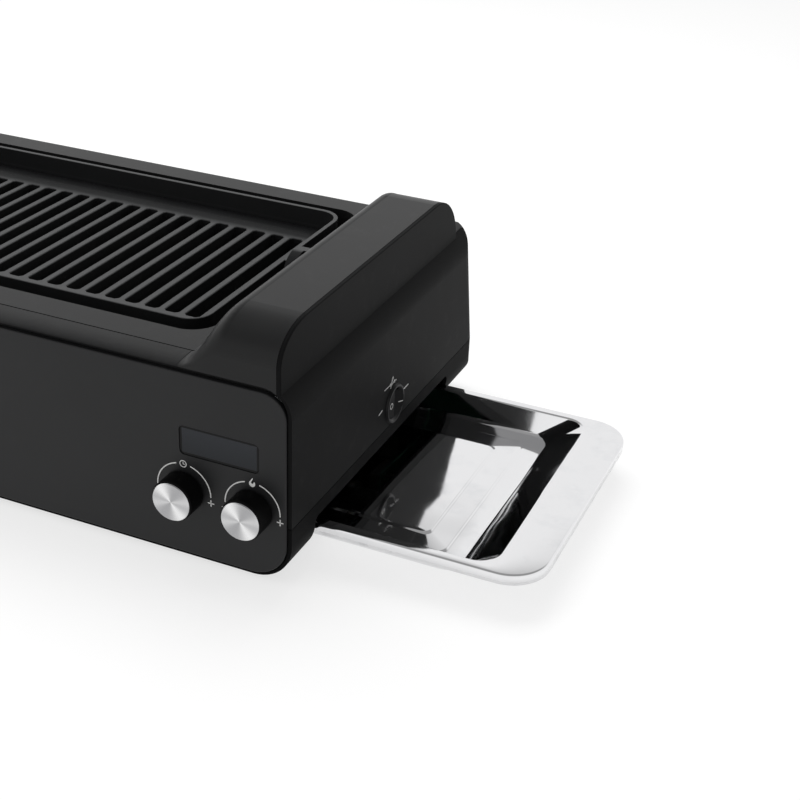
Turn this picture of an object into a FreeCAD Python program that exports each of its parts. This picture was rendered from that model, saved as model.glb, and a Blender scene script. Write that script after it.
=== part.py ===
import FreeCAD, Part
import math
import os
from FreeCAD import Vector

# Electric kebab grill, in millimetres.
# Layout: x runs along the length from the middle of the body, y runs back from the front panel's face,
# z runs up from the surface that the feet stand on. Saved pieces are moved so that the frame's origin is
# the centre of the whole footprint, with the tray drawn out as it rests.

# Overall sizes
body_length = 540.0
body_depth = 297.0
deck_height = 135.5
housing_rise = 32.0
seam_height = 43.5
foot_height = 5.0
wall = 2.5
seam_gap = 0.5
seat_gap = 0.3

# Outline of the body
base_corner_radius = 26.0
base_rear_radius = 14.0
shoulder_radius = 20.0
rear_lean = 0.125
rear_top_radius = 5.0
rear_corner_low = 12.0
rear_corner_high = 22.0
cover_front = 1.2
cover_seam_drop = 7.5
rear_cover_inset = 14.0

# Raised end housings
cap_face_inset = 7.0
cap_depth = 2.8
cap_edge_radius = 0.8
housing_width = 44.0
rise_run = 32.0
housing_foot_radius = 7.0
strip_depth = 17.0
strip_rise = 2.9
housing_front_depth = 33.0
housing_front_rise = 21.5
housing_back_inset = 33.0
housing_back_radius = 38.0
housing_skirt = 16.0
rise_wall_share = 0.8
rise_steps = 5
groove_width = 0.9
groove_depth = 0.7
groove_overrun = 4.0

# Front panel
panel_thickness = 3.0
panel_side_inset = 3.0
panel_bottom = 7.0
panel_top_drop = 5.3
panel_low_radius = 24.0
panel_high_radius = 16.0
panel_edge_radius = 0.8
panel_gap = 0.6
panel_top_gap = 2.8

# Display
window_width = 52.4
window_height = 19.0
window_inset = 47.0
window_centre_z = 86.0
window_radius = 3.0
window_thickness = 2.0
window_recess = 0.5
window_clearance = 0.3
window_ledge = 2.0
display_width = 48.0
display_height = 16.0
display_leg_spacing = 20.0
display_leg_width = 4.0
display_leg_inset = 2.0
display_stand = 8.0

# Knobs, their shafts and turning switches
knob_spacing = 46.1
knob_pair_offset = 1.3
knob_height = 51.5
knob_radius = 13.4
knob_reach = 15.6
knob_gap = 0.8
knob_edge_radius = 0.5
cap_radius = 12.5
cap_thickness = 1.4
cap_sink = 0.3
shaft_radius = 3.0
shaft_clearance = 0.05
shaft_flat = 1.8
shaft_front = -11.0
shaft_back = 18.7
bush_wall = 0.5
bush_front = 4.0
encoder_front = 13.0
encoder_size = 14.0

# Opening in the deck
opening_margin = 2.0
opening_front = 40.0
opening_rear_margin = 34.0
opening_radius = 19.0

# Grate
bar_drop = 8.5
bar_depth = 12.7
bar_count = 24
bar_width = 4.8
field_side_gap = 20.3
field_front_gap = 28.5
field_radius = 15.0
rim_width = 5.0
slot_back_gap = 32.0
slot_flare = 0.9
slot_corner = 1.8
edge_break = 0.6
splash_stand = 3.5
splash_side_gap = 8.0
splash_back_gap = 14.0
splash_side_length = 69.5
splash_thickness = 2.8
splash_radius = 17.0
ledge_drop = 2.7
ledge_width = 20.0
flange_thickness = 2.7
flange_gap = 3.5
lug_reach = 2.5
lug_length = 5.0
lug_depth = 1.0
lug_run = 23.0
lug_bow_along = 0.29
lug_bow_up = 0.71
deck_clearance = 0.9
under_side_inset = 11.7
under_height = 7.0
under_radius = 3.0

# Fire space
liner_thickness = 1.0
liner_side_gap = 14.0
liner_front_gap = 22.0
liner_back_gap = 11.0
liner_radius = 12.0
liner_above_tray = 12.0
ear_offset = 11.0
ear_radius = 6.0
ear_boss_radius = 5.0
ear_rear_gap = 8.0
ear_screw_length = 12.0
ear_head_radius = 3.0

# Heater
heater_radius = 3.25
heater_drop = 16.3
heater_legs = 4
heater_spacing = 38.0
heater_end_gap = 28.0
heater_offset = 5.0
heater_hole_gap = 1.2
clip_width = 10.0
clip_count = 3
clip_end_gap = 40.0
clip_drop = 14.0
terminal_stand = 11.0
terminal_hold = 10.0
terminal_depth = 18.0
terminal_fit = 0.1
terminal_half_height = 10.0
terminal_overhang = 15.0
terminal_arm_width = 12.0
terminal_arm_inset = 30.0
terminal_arm_half_height = 8.0
cutout_radius = 7.0
cutout_depth = 9.0
cutout_offset = 2.0
cutout_drop = 18.0
cutout_tab_width = 6.0
cutout_tab_length = 8.0
tab_sheet = 0.8

# Tray and its slot
tray_shortness = 60.0
tray_front_gap = 35.5
tray_rear_gap = 57.5
tray_top = 28.0
tray_depth = 18.0
tray_sheet = 1.0
tray_reach = 140.0
tray_end_flange = 29.0
tray_side_flange = 7.0
tray_turn_down = 7.0
tray_radius = 26.0
basin_radius = 15.0
basin_slope = 5.0
floor_step = 0.8
floor_insets = [14.0, 30.0]
slot_side_clearance = 3.5
slot_headroom = 6.0
slot_footroom = 1.0
slot_radius = 4.0

# Tray rails
rail_thickness = 1.5
rail_clearance = 0.35
rail_shelf = 5.0
rail_foot = 9.0
rail_end_gap = 38.0

# Rocker switch
rocker_from_back = 150.0
rocker_seam_gap = 1.3
rocker_radius = 9.9
rocker_play = 0.6
rocker_body_wall = 1.7
rocker_flange_width = 1.6
rocker_flange_height = 1.5
rocker_depth = 24.0
rocker_floor = 3.0
rocker_angle = 8.0
rocker_pivot_depth = 1.5
rocker_dish = 1.5
rocker_pin = 1.0
rocker_pin_wall = 0.3
rocker_pin_play = 0.2
rocker_valley = 1.2
rocker_back = 5.0
rocker_swing_play = 0.4
rocker_hole_clearance = 0.15
blade_spacing = 5.0
blade_length = 9.0
blade_width = 4.8

# Skewer drive
skewer_count = 5
skewer_pitch = 40.0
skewer_offset = 0.5
skewer_stand = 16.5
gear_teeth = 12
gear_width = 6.0
gear_backlash = 0.35
gear_web = 1.2
gear_inset = 6.0
tooth_addendum = 0.8
tooth_dedendum = 1.0
hub_radius = 6.0
hub_inset = 13.0
hub_hole_clearance = 0.6
socket_side = 5.4
socket_depth = 8.5
pin_radius = 2.5
pin_clearance = 0.05
plate_thickness = 2.5
plate_gap = 0.5
plate_front_reach = 21.0
plate_back_reach = 17.0
plate_drop = 14.0
plate_corner = 22.0
plate_low_corner = 3.0
plate_flange = 12.0
plate_margin = 4.0
motor_radius = 24.5
motor_length = 18.0
motor_edge = 1.5
motor_shaft_radius = 1.5
motor_shaft_hold = 8.0
motor_boss_radius = 4.0
motor_boss_length = 5.0
motor_screw_offset = 31.0
motor_ear_drop = 12.0
motor_ear_thickness = 2.0
motor_tab_corner = 12.0
bush_bore_radius = 3.5
bush_collar_radius = 8.5
bush_collar = 2.0
bush_depth = 16.0

# Rear fittings
inlet_width = 28.0
inlet_height = 21.0
inlet_depth = 24.0
inlet_inset = 55.0
inlet_z = 78.0
inlet_flange = 1.5
inlet_rim = 4.0
inlet_wall = 2.0
inlet_cavity = 17.0
inlet_corner = 2.5
inlet_pin_width = 2.0
inlet_pin_height = 4.0
inlet_pin_spacing = 7.0
inlet_pin_offset = 2.0
inlet_pin_edge = 0.3
vent_width = 3.0
vent_low = 66.0
vent_high = 98.0
vent_count = 14
vent_pitch = 8.0

# Feet
foot_radius = 9.0
foot_plug_radius = 3.0
foot_edge = 1.0
foot_inset = 55.0
foot_front = 45.0
foot_rear_inset = 35.0

# Screws and what holds them
screw_head_radius = 3.6
small_head_radius = 2.6
small_head_height = 1.5
screw_radius = 1.5
screw_clearance = 0.2
screw_head_height = 2.0
screw_bite = 1.5
base_web_y = 8.0
post_radius = 4.0
post_foot_radius = 6.0
post_foot_height = 3.0
post_inset = 30.0
post_front_y = 27.0
post_rear_inset = 25.0
boss_height = 14.0
rib_width = 3.0
tab_width = 18.0
panel_screw_inset = 32.0
panel_screw_low = 28.0
high_screw_drop = 23.5
rear_screw_inset = 26.0
rear_screw_low = 64.0
rear_screw_length = 9.0
rear_tab_gap = 1.4

# Boards
board_left_reach = 41.0
board_right_reach = 35.0
board_low = 46.0
board_high = 106.0
board_y = 20.0
board_thickness = 1.6
board_screw_radius = 1.0
board_screw_depth = 8.0
board_screw_edge = 5.0
board_screw_heights = [68.0, 100.0]
board_post_radius = 2.5
power_inset = 18.0
power_post_y = [41.0, 103.0]
power_post_z = [54.0, 108.0]
power_board_margin = (8.0, 6.0)
relay_size = (15.0, 28.0, 16.0)
relay_offset = (12.0, 10.0)
capacitor_radius = 6.0
capacitor_length = 12.0
capacitor_offset = (50.0, 38.0)

# Lengthwise places, measured in from the ends of the body
half_length = body_length / 2
panel_half = half_length - panel_side_inset
cap_face = half_length - cap_face_inset
cap_seam = cap_face - cap_depth
rear_cover_end = half_length - rear_cover_inset
housing_inner_edge = half_length - housing_width
housing_foot_edge = housing_inner_edge - rise_run
opening_half_length = housing_foot_edge - opening_margin
field_half_length = opening_half_length - field_side_gap
splash_half_length = opening_half_length - splash_side_gap
under_half = field_half_length - under_side_inset
liner_half_length = opening_half_length - liner_side_gap
ear_x = opening_half_length + ear_offset
heater_half_length = liner_half_length - heater_end_gap
terminal_face = liner_half_length + liner_thickness + terminal_stand
clip_spacing = 2 * (heater_half_length - clip_end_gap) / (clip_count - 1)
window_centre_x = half_length - window_inset
right_knob_x = window_centre_x + knob_spacing / 2 - knob_pair_offset
left_knob_x = right_knob_x - knob_spacing
board_left = window_centre_x - board_left_reach
board_right = window_centre_x + board_right_reach
power_x = half_length - power_inset
post_x = half_length - post_inset
panel_screw_x = half_length - panel_screw_inset
rear_screw_x = half_length - rear_screw_inset
inlet_x = half_length - inlet_inset
foot_x = half_length - foot_inset
rail_half_length = half_length - rail_end_gap
tray_length = body_length - tray_shortness
rocker_inner_x = half_length - rocker_depth
gear_plane = housing_inner_edge + wall - gear_inset
hub_end = housing_inner_edge - hub_inset

# Places from front to back
opening_back = body_depth - opening_rear_margin
housing_back = body_depth - housing_back_inset
field_front = opening_front + field_front_gap
splash_back = opening_back - splash_back_gap
splash_end = splash_back - splash_side_length
slot_back = splash_back - slot_back_gap
ledge_flat = splash_back - ledge_width
lug_foot = splash_end - lug_run
liner_front = opening_front + liner_front_gap
liner_back = opening_back - liner_back_gap
heater_centre_y = (liner_front + liner_back) / 2 - heater_offset
cutout_y = heater_centre_y - cutout_offset
ear_y = [liner_front, liner_back - ear_rear_gap]
tray_width = body_depth - tray_front_gap - tray_rear_gap
tray_centre_y = tray_front_gap + tray_width / 2
rocker_y = body_depth - rocker_from_back
skewer_middle_y = (opening_front + opening_back) / 2 - skewer_offset
skewer_span = skewer_pitch * (skewer_count - 1)
skewer_places = [skewer_middle_y - skewer_span / 2 + i * skewer_pitch for i in range(skewer_count)]
idler_places = [(a + b) / 2 for a, b in zip(skewer_places, skewer_places[1:])]
plate_front = skewer_middle_y - skewer_span / 2 - plate_front_reach
plate_back = skewer_middle_y + skewer_span / 2 + plate_back_reach
post_rear_y = body_depth - post_rear_inset
power_y = [rocker_y + reach for reach in power_post_y]
foot_places = [(x, y) for x in (-foot_x, foot_x) for y in (foot_front, body_depth - foot_rear_inset)]
board_screw_places = [(x, z) for x in (board_left + board_screw_edge, board_right - board_screw_edge)
                      for z in board_screw_heights]
ear_places = [(x, y) for x in (-ear_x, ear_x) for y in ear_y]

# Heights
base_bottom = foot_height
floor_top = base_bottom + wall
housing_height = deck_height + housing_rise
housing_floor = deck_height - housing_skirt
cover_seam = deck_height - cover_seam_drop
panel_top = deck_height - panel_top_drop
bar_top = deck_height - bar_drop
splash_top = deck_height + splash_stand
ledge_height = bar_top - ledge_drop
flange_bottom = bar_top - bar_depth
flange_top = flange_bottom + flange_thickness
liner_bottom = tray_top + liner_above_tray
heater_height = flange_bottom - heater_drop
cutout_z = heater_height - cutout_drop
slot_top = tray_top + slot_headroom
slot_bottom = tray_top - tray_depth - slot_footroom
skewer_height = deck_height + skewer_stand
plate_low = skewer_height - plate_drop
panel_screw_high = deck_height - high_screw_drop
rear_screw_heights = [rear_screw_low, deck_height - high_screw_drop]

# Fits worked out from the sizes above
bush_radius = shaft_radius + bush_wall
rocker_bore = rocker_radius + rocker_play
rocker_body_radius = rocker_bore + rocker_body_wall
rocker_z = seam_height + rocker_body_radius + rocker_seam_gap
rocker_flange_radius = rocker_body_radius + rocker_flange_width
gear_module = skewer_pitch / (2 * gear_teeth)
gear_pitch_radius = gear_module * gear_teeth / 2
frame_shift = Vector(-tray_reach / 2, -(body_depth - knob_reach) / 2, 0)

os.makedirs("parts", exist_ok=True)


def save(node, shapes):
    """Move a piece to the shared frame and write its file."""
    solids = shapes if isinstance(shapes, list) else [shapes]
    whole = Part.makeCompound(solids) if len(solids) > 1 else solids[0]
    placed = whole.copy()
    placed.translate(frame_shift)
    placed.exportStep("parts/" + node + ".step")
    print(node, len(placed.Solids), round(placed.Volume / 1000, 2), "cm3", placed.isValid())


def block(x0, x1, y0, y1, z0, z1):
    return Part.makeBox(x1 - x0, y1 - y0, z1 - z0, Vector(x0, y0, z0))


def rod(radius, start, direction, length):
    return Part.makeCylinder(radius, length, Vector(*start), Vector(*direction))


def mirrored(shape):
    return shape.mirror(Vector(0, 0, 0), Vector(1, 0, 0))


def polygon(points):
    return Part.makePolygon([Vector(*p) for p in points] + [Vector(*points[0])])


def prism(points, direction):
    return Part.Face(polygon(points)).extrude(Vector(*direction))


def fused(shapes):
    return shapes[0].multiFuse(shapes[1:]).removeSplitter() if len(shapes) > 1 else shapes[0]


def rounded_wire(u0, u1, v0, v1, radii, place):
    """A rectangle with its own radius at each corner: low left, low right, high right, high left."""
    corners = [(u0, v0, 1, 1), (u1, v0, -1, 1), (u1, v1, -1, -1), (u0, v1, 1, -1)]
    turn_start = [180, 270, 0, 90]
    edges = []
    ends = []
    for (u, v, du, dv), radius, start in zip(corners, radii, turn_start):
        cu, cv = u + du * radius, v + dv * radius
        points = []
        for angle in (start, start + 45, start + 90):
            a = math.radians(angle)
            points.append(place(cu + radius * math.cos(a), cv + radius * math.sin(a)))
        ends.append((points, radius))
    for i, (points, radius) in enumerate(ends):
        if radius > 0:
            edges.append(Part.Arc(*points).toShape())
        nxt = ends[(i + 1) % 4][0][0]
        if (nxt - points[2]).Length > 1e-6:
            edges.append(Part.LineSegment(points[2], nxt).toShape())
    return Part.Wire(edges)


def in_plan(z):
    return lambda u, v: Vector(u, v, z)


def in_front(y):
    return lambda u, v: Vector(u, y, v)


def in_side(x):
    return lambda u, v: Vector(x, u, v)


def rounded_block(u0, u1, v0, v1, radii, place, direction):
    return Part.Face(rounded_wire(u0, u1, v0, v1, radii, place)).extrude(Vector(*direction))


# Outline of the upper body: a long profile, a leaning back and rear corners that widen upwards
def rear_at(z):
    return body_depth - rear_lean * max(z - seam_height, 0)


def upper_envelope(inset, front, z_low):
    half = half_length - inset
    top = deck_height - inset
    shoulder = shoulder_radius - inset
    along = rounded_block(-half, half, z_low, top, [0, 0, shoulder, shoulder],
                          in_front(front), (0, body_depth, 0))
    r = rear_top_radius - inset
    low = (rear_at(z_low) - inset, z_low)
    high = (rear_at(deck_height) - inset, top)
    lean = math.atan2(low[0] - high[0], high[1] - low[1])
    tangent = r * math.tan((math.pi / 2 - lean) / 2)
    start = Vector(-half, high[0] + tangent * math.sin(lean), high[1] - tangent * math.cos(lean))
    finish = Vector(-half, high[0] - tangent, high[1])
    centre = Vector(-half, finish.y, finish.z - r)
    middle_angle = (lean + math.pi / 2) / 2
    middle = centre + Vector(0, r * math.cos(middle_angle), r * math.sin(middle_angle))
    side = [Part.LineSegment(Vector(-half, front, z_low), Vector(-half, low[0], z_low)).toShape(),
            Part.LineSegment(Vector(-half, low[0], z_low), start).toShape(),
            Part.Arc(start, middle, finish).toShape(),
            Part.LineSegment(finish, Vector(-half, front, top)).toShape(),
            Part.LineSegment(Vector(-half, front, top), Vector(-half, front, z_low)).toShape()]
    across = Part.Face(Part.Wire(side)).extrude(Vector(2 * half, 0, 0))
    plan = []
    for z, radius in ((z_low, rear_corner_low - inset), (deck_height, rear_corner_high - inset)):
        rear = rear_at(z) - inset
        plan.append(rounded_wire(-half, half, front, rear, [0, 0, radius, radius], in_plan(z)))
    return along.common(across).common(Part.makeLoft(plan, True, True))


# Cross section of the front strip and of the raised housings, seen from the side
def smooth(t):
    t = min(max(t, 0.0), 1.0)
    return t * t * t * (t * (6 * t - 15) + 10)


def housing_section(x, inset, z_low):
    run = abs(x) - housing_foot_edge - rise_wall_share * inset
    full = smooth(run / (housing_inner_edge - housing_foot_edge))
    top = deck_height + (housing_height - deck_height) * full
    depth = strip_depth + (housing_front_depth - strip_depth) * full
    rise = strip_rise + (housing_front_rise - strip_rise) * full
    radius = housing_foot_radius + (housing_back_radius - housing_foot_radius) * full
    centre_y, centre_z = cover_front + depth, top - rise
    a, b = depth - inset, rise - inset
    front = Vector(x, centre_y - a, centre_z)
    crest = Vector(x, centre_y, centre_z + b)
    ellipse = Part.Ellipse(crest, front, Vector(x, centre_y, centre_z)) if b > a else \
        Part.Ellipse(front, crest, Vector(x, centre_y, centre_z))
    arc = Part.ArcOfEllipse(ellipse, 0, math.pi / 2).toShape()
    if (arc.valueAt(arc.FirstParameter) - front).Length > 1e-4:
        arc = Part.ArcOfEllipse(ellipse, 3 * math.pi / 2, 2 * math.pi).toShape()
    r = radius - inset
    back = housing_back - inset
    rear_start = Vector(x, back - r, top - inset)
    rear_end = Vector(x, back, top - inset - r)
    k = math.sqrt(0.5)
    rear_mid = Vector(x, back - r + r * k, top - inset - r + r * k)
    low_front, low_back = Vector(x, centre_y - a, z_low), Vector(x, back, z_low)
    return Part.Wire([Part.LineSegment(low_front, front).toShape(), arc,
                      Part.LineSegment(crest, rear_start).toShape(),
                      Part.Arc(rear_start, rear_mid, rear_end).toShape(),
                      Part.LineSegment(rear_end, low_back).toShape(),
                      Part.LineSegment(low_back, low_front).toShape()])


def housing(inset, z_low, end):
    """The right raised housing: an S-shaped rise lofted through sections, then a straight run."""
    first, last = housing_foot_edge + inset, housing_inner_edge + inset
    sections = [housing_section(first + (last - first) * i / rise_steps, inset, z_low)
                for i in range(rise_steps + 1)]
    rise = Part.makeLoft(sections, True, inset > 0)
    run = Part.Face(sections[-1]).extrude(Vector(end - last, 0, 0))
    return rise.fuse(run)


def panel_outline(side_gap, top_gap, y):
    half = panel_half + side_gap
    low = panel_low_radius + side_gap
    high = panel_high_radius + side_gap
    return rounded_wire(-half, half, panel_bottom - side_gap, panel_top + top_gap,
                        [low, low, high, high], in_front(y))


def opening_block(grow, z0, z1):
    r = opening_radius + grow
    return rounded_block(-opening_half_length - grow, opening_half_length + grow,
                         opening_front - grow, opening_back + grow, [r] * 4, in_plan(z0), (0, 0, z1 - z0))


# Shells of the upper body
envelope = upper_envelope(0, cover_front, seam_height + seam_gap / 2)
hollow = upper_envelope(wall, -wall, seam_height - wall)
lower_shell = envelope.cut(hollow)
panel_recess = Part.Face(panel_outline(panel_gap, panel_gap, -1)).extrude(
    Vector(0, panel_thickness + 1 + panel_gap, 0))
top_recess = Part.Face(panel_outline(panel_gap, panel_top_gap, -1)).extrude(
    Vector(0, panel_thickness + 1 + panel_gap, 0))

housing_outer = housing(0, housing_floor, cap_seam)
housing_inner = housing(wall, housing_floor - 1, cap_seam + 1)

# Top cover: front strip, deck, opening with its turned-down skirt and the two raised housings
strip = Part.Face(housing_section(0, 0, housing_floor)).extrude(Vector(housing_foot_edge + 2, 0, 0))
strip = strip.common(block(-1, body_length, -1, housing_back - 2 * rear_top_radius, 0, body_depth))
deck_rear = envelope.common(block(-cap_seam, cap_seam, cover_front + strip_depth, body_depth + 1,
                                  housing_floor, deck_height + 1))
outer = fused([deck_rear, strip, mirrored(strip), housing_outer, mirrored(housing_outer)])
hollow_top = upper_envelope(wall, cover_front + wall, housing_floor - 1)
hollow_top = hollow_top.cut(block(-half_length, half_length, -1, cover_front + strip_depth,
                                  deck_height - wall - strip_rise, deck_height))
top_cover = outer.cut(hollow_top).cut(housing_inner).cut(mirrored(housing_inner))
top_cover = top_cover.cut(block(-half_length, half_length, -1, body_depth + 1, 0, cover_seam + seam_gap / 2))
top_cover = top_cover.cut(top_recess)
skirt = opening_block(wall, flange_bottom, deck_height - wall / 2)
bosses = [rod(ear_boss_radius, (x, y, flange_bottom), (0, 0, 1), housing_height).common(outer)
          for x, y in ear_places]
top_cover = top_cover.multiFuse([skirt] + bosses).cut(opening_block(0, flange_bottom - 1, deck_height + 1))
groove_y = cover_front + strip_depth
groove_end = housing_foot_edge + groove_overrun
groove = block(-groove_end, groove_end, groove_y, groove_y + groove_width,
               deck_height - groove_depth, deck_height + 2)
top_cover = top_cover.cut(groove).removeSplitter()
for side in (-1, 1):
    for y in skewer_places:
        hole = rod(hub_radius + hub_hole_clearance, (side * housing_foot_edge, y, skewer_height),
                   (side, 0, 0), gear_plane - housing_foot_edge)
        top_cover = top_cover.cut(hole)
for x, y in ear_places:
    top_cover = top_cover.cut(rod(screw_radius, (x, y, flange_bottom - 1), (0, 0, 1), ear_screw_length + 1))
save("top_cover", top_cover)


# Lower shells: the tub, the two side covers and the rear cover
def tub(inset, front, top):
    half = half_length - inset
    low = base_bottom + inset
    rear = body_depth - inset
    along = rounded_block(-half, half, low, top, [base_corner_radius - inset] * 2 + [0, 0],
                          in_front(front), (0, body_depth, 0))
    across = rounded_block(front, rear, low, top, [0, base_rear_radius - inset, 0, 0],
                           in_side(-half), (2 * half, 0, 0))
    plan = rounded_block(-half, half, front, rear, [0, 0] + [rear_corner_low - inset] * 2,
                         in_plan(low), (0, 0, top - low))
    return along.common(across).common(plan)


seam_low = seam_height - seam_gap / 2
tub_inner = tub(wall, -wall, seam_low + 1)
base_shell = tub(0, cover_front, seam_low).cut(tub_inner).cut(panel_recess)
web_front, web_back = base_web_y, base_web_y + wall
base_web = tub(wall / 2, web_front, seam_low).common(block(-half_length, half_length, web_front, web_back,
                                                          0, seam_low))
base_shell = base_shell.fuse(base_web)
slot_front = tray_centre_y - tray_width / 2 - slot_side_clearance
slot_rear = tray_centre_y + tray_width / 2 + slot_side_clearance
tray_slot = rounded_block(slot_front, slot_rear, slot_bottom, slot_top, [slot_radius] * 4,
                          in_side(half_length - base_corner_radius), (base_corner_radius + 1, 0, 0))
base_shell = base_shell.cut(tray_slot)
post_places = [(x, y) for x in (-post_x, post_x) for y in (post_front_y, post_rear_y)]
for x, y in post_places:
    base_shell = base_shell.fuse(rod(post_radius, (x, y, floor_top - wall / 2), (0, 0, 1),
                                     seam_low - floor_top + wall / 2))
    base_shell = base_shell.fuse(rod(post_foot_radius, (x, y, floor_top - wall / 2), (0, 0, 1),
                                     post_foot_height + wall / 2))
    base_shell = base_shell.cut(rod(screw_radius + screw_clearance, (x, y, 0), (0, 0, 1), seam_height))
    base_shell = base_shell.cut(rod(screw_head_radius + screw_clearance, (x, y, 0), (0, 0, 1), floor_top))
for x, y in foot_places:
    base_shell = base_shell.cut(rod(foot_plug_radius, (x, y, 0), (0, 0, 1), floor_top + 1))
for x in (-panel_screw_x, panel_screw_x):
    base_shell = base_shell.cut(rod(screw_radius + screw_clearance, (x, 0, panel_screw_low), (0, 1, 0), 20))
save("base_shell", base_shell.removeSplitter())


def side_cover(right):
    """Side wall, rounded shoulder, rear corner and the cap that closes the raised housing."""
    edge = rear_cover_end + seat_gap
    low_part = lower_shell.common(block(edge, half_length, -1, body_depth + 1, 0, cover_seam - seam_gap / 2))
    high_part = lower_shell.common(block(cap_seam + seat_gap, half_length, -1, body_depth + 1,
                                         cover_seam - seam_gap, deck_height))
    cap = Part.Face(housing_section(cap_face, 0, cover_seam - seam_gap)).extrude(
        Vector(cap_seam + seat_gap - cap_face, 0, 0))
    rim = [e for e in cap.Edges if abs(e.CenterOfMass.x - cap_face) < 0.01
           and e.CenterOfMass.z > panel_top]
    cap = cap.makeFillet(cap_edge_radius, rim)
    cover = low_part.multiFuse([high_part, cap])
    cover = cover.cut(top_recess)
    inner = half_length - wall
    tab = block(panel_screw_x - tab_width / 2, inner + wall / 2, web_front, web_back,
                panel_screw_high - tab_width / 2, panel_screw_high + tab_width / 2)
    extras = [tab]
    for x, y in post_places:
        if x > 0:
            extras.append(rod(post_radius, (x, y, seam_height + seam_gap / 2), (0, 0, 1), boss_height))
            extras.append(block(x, inner + wall / 2, y - rib_width / 2, y + rib_width / 2,
                                seam_height + seam_gap / 2, seam_height + boss_height))
    for z in rear_screw_heights:
        y_low, y_high = rear_at(z - tab_width / 2), rear_at(z + tab_width / 2)
        inside = wall + rear_tab_gap
        extras.append(prism([(rear_screw_x - tab_width / 2, y_low - inside, z - tab_width / 2),
                             (rear_screw_x - tab_width / 2, y_high - inside, z + tab_width / 2),
                             (rear_screw_x - tab_width / 2, y_high - inside - wall, z + tab_width / 2),
                             (rear_screw_x - tab_width / 2, y_low - inside - wall, z - tab_width / 2)],
                            (half_length - wall - rear_corner_low / 2 - rear_screw_x + tab_width / 2, 0, 0)))
    if right:
        for y in power_y:
            for z in power_post_z:
                extras.append(rod(board_post_radius, (power_x, y, z), (1, 0, 0), inner + wall / 2 - power_x))
    cover = cover.multiFuse(extras)
    for x, y in post_places:
        if x > 0:
            cover = cover.cut(rod(screw_radius, (x, y, seam_height), (0, 0, 1), boss_height - wall))
    cover = cover.cut(rod(screw_radius, (panel_screw_x, 0, panel_screw_high), (0, 1, 0), 20))
    for z in rear_screw_heights:
        cover = cover.cut(rear_rod(screw_radius, rear_screw_x, z, -rear_screw_length, 1))
    if right:
        cover = cover.cut(rod(rocker_body_radius + rocker_hole_clearance,
                              (rocker_inner_x, rocker_y, rocker_z), (1, 0, 0), rocker_depth + 1))
    return cover.removeSplitter()


def rear_rod(radius, x, z, start, finish):
    """A rod square to the leaning back, measured from the outer surface."""
    lean = math.atan(rear_lean)
    out = Vector(0, math.cos(lean), math.sin(lean))
    foot = Vector(x, rear_at(z), z) + out * start
    return Part.makeCylinder(radius, finish - start, foot, out)


save("side_cover_right", side_cover(True))
save("side_cover_left", mirrored(side_cover(False)))

rear_cover = lower_shell.common(block(-rear_cover_end, rear_cover_end, body_depth / 2, body_depth + 1,
                                      0, cover_seam - seam_gap / 2))
rear_screws = []
for x in (-rear_screw_x, rear_screw_x):
    for z in rear_screw_heights:
        rear_cover = rear_cover.cut(rear_rod(screw_radius + screw_clearance, x, z, -wall - 1, 1))
        head = rear_rod(screw_head_radius, x, z, 0, screw_head_height)
        rear_screws.append(head.fuse(rear_rod(screw_radius, x, z, -rear_screw_length, 0)).removeSplitter())
vent_tool = rounded_block(-vent_width / 2, vent_width / 2, vent_low, vent_high, [vent_width / 2 - 0.01] * 4,
                          in_front(body_depth / 2), (0, body_depth, 0))
for i in range(vent_count):
    x = (i - (vent_count - 1) / 2) * vent_pitch
    tool = vent_tool.copy()
    tool.translate(Vector(x, 0, 0))
    rear_cover = rear_cover.cut(tool)


# Power inlet, set square to the leaning back
def inlet_block(width, height, start, finish, radius):
    shape = rounded_block(-width / 2, width / 2, -height / 2, height / 2, [radius] * 4, in_front(start),
                          (0, finish - start, 0))
    shape.rotate(Vector(0, 0, 0), Vector(1, 0, 0), math.degrees(math.atan(rear_lean)))
    shape.translate(Vector(inlet_x, rear_at(inlet_z), inlet_z))
    return shape


rear_cover = rear_cover.cut(inlet_block(inlet_width + panel_gap, inlet_height + panel_gap, -inlet_depth,
                                        inlet_rim, inlet_corner + panel_gap / 2))
save("rear_cover", rear_cover)
inlet = inlet_block(inlet_width, inlet_height, -inlet_depth, inlet_flange / 2, inlet_corner)
inlet = inlet.fuse(inlet_block(inlet_width + 2 * inlet_rim, inlet_height + 2 * inlet_rim, 0, inlet_flange,
                               inlet_rim))
inlet = inlet.cut(inlet_block(inlet_width - 2 * inlet_wall, inlet_height - 2 * inlet_wall, -inlet_cavity,
                              inlet_flange + 1, inlet_rim))
for i in (-1, 0, 1):
    pin = inlet_block(inlet_pin_width, inlet_pin_height, -inlet_cavity - inlet_wall, -inlet_pin_height,
                      inlet_pin_edge)
    pin.translate(Vector(i * inlet_pin_spacing, 0, inlet_pin_offset if i == 0 else -inlet_pin_offset))
    inlet = inlet.fuse(pin)
save("power_inlet", inlet.removeSplitter())

# Front panel with its window, knob holes and screw bosses
panel = Part.Face(panel_outline(0, 0, 0)).extrude(Vector(0, panel_thickness, 0))
front_edges = [e for e in panel.Edges if abs(e.BoundBox.YMax) < 0.01]
panel = panel.makeFillet(panel_edge_radius, front_edges)


def window_block(grow, start, finish):
    w, h = window_width / 2 + grow, window_height / 2 + grow
    return rounded_block(window_centre_x - w, window_centre_x + w, window_centre_z - h, window_centre_z + h,
                         [window_radius + grow] * 4, in_front(start), (0, finish - start, 0))


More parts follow.
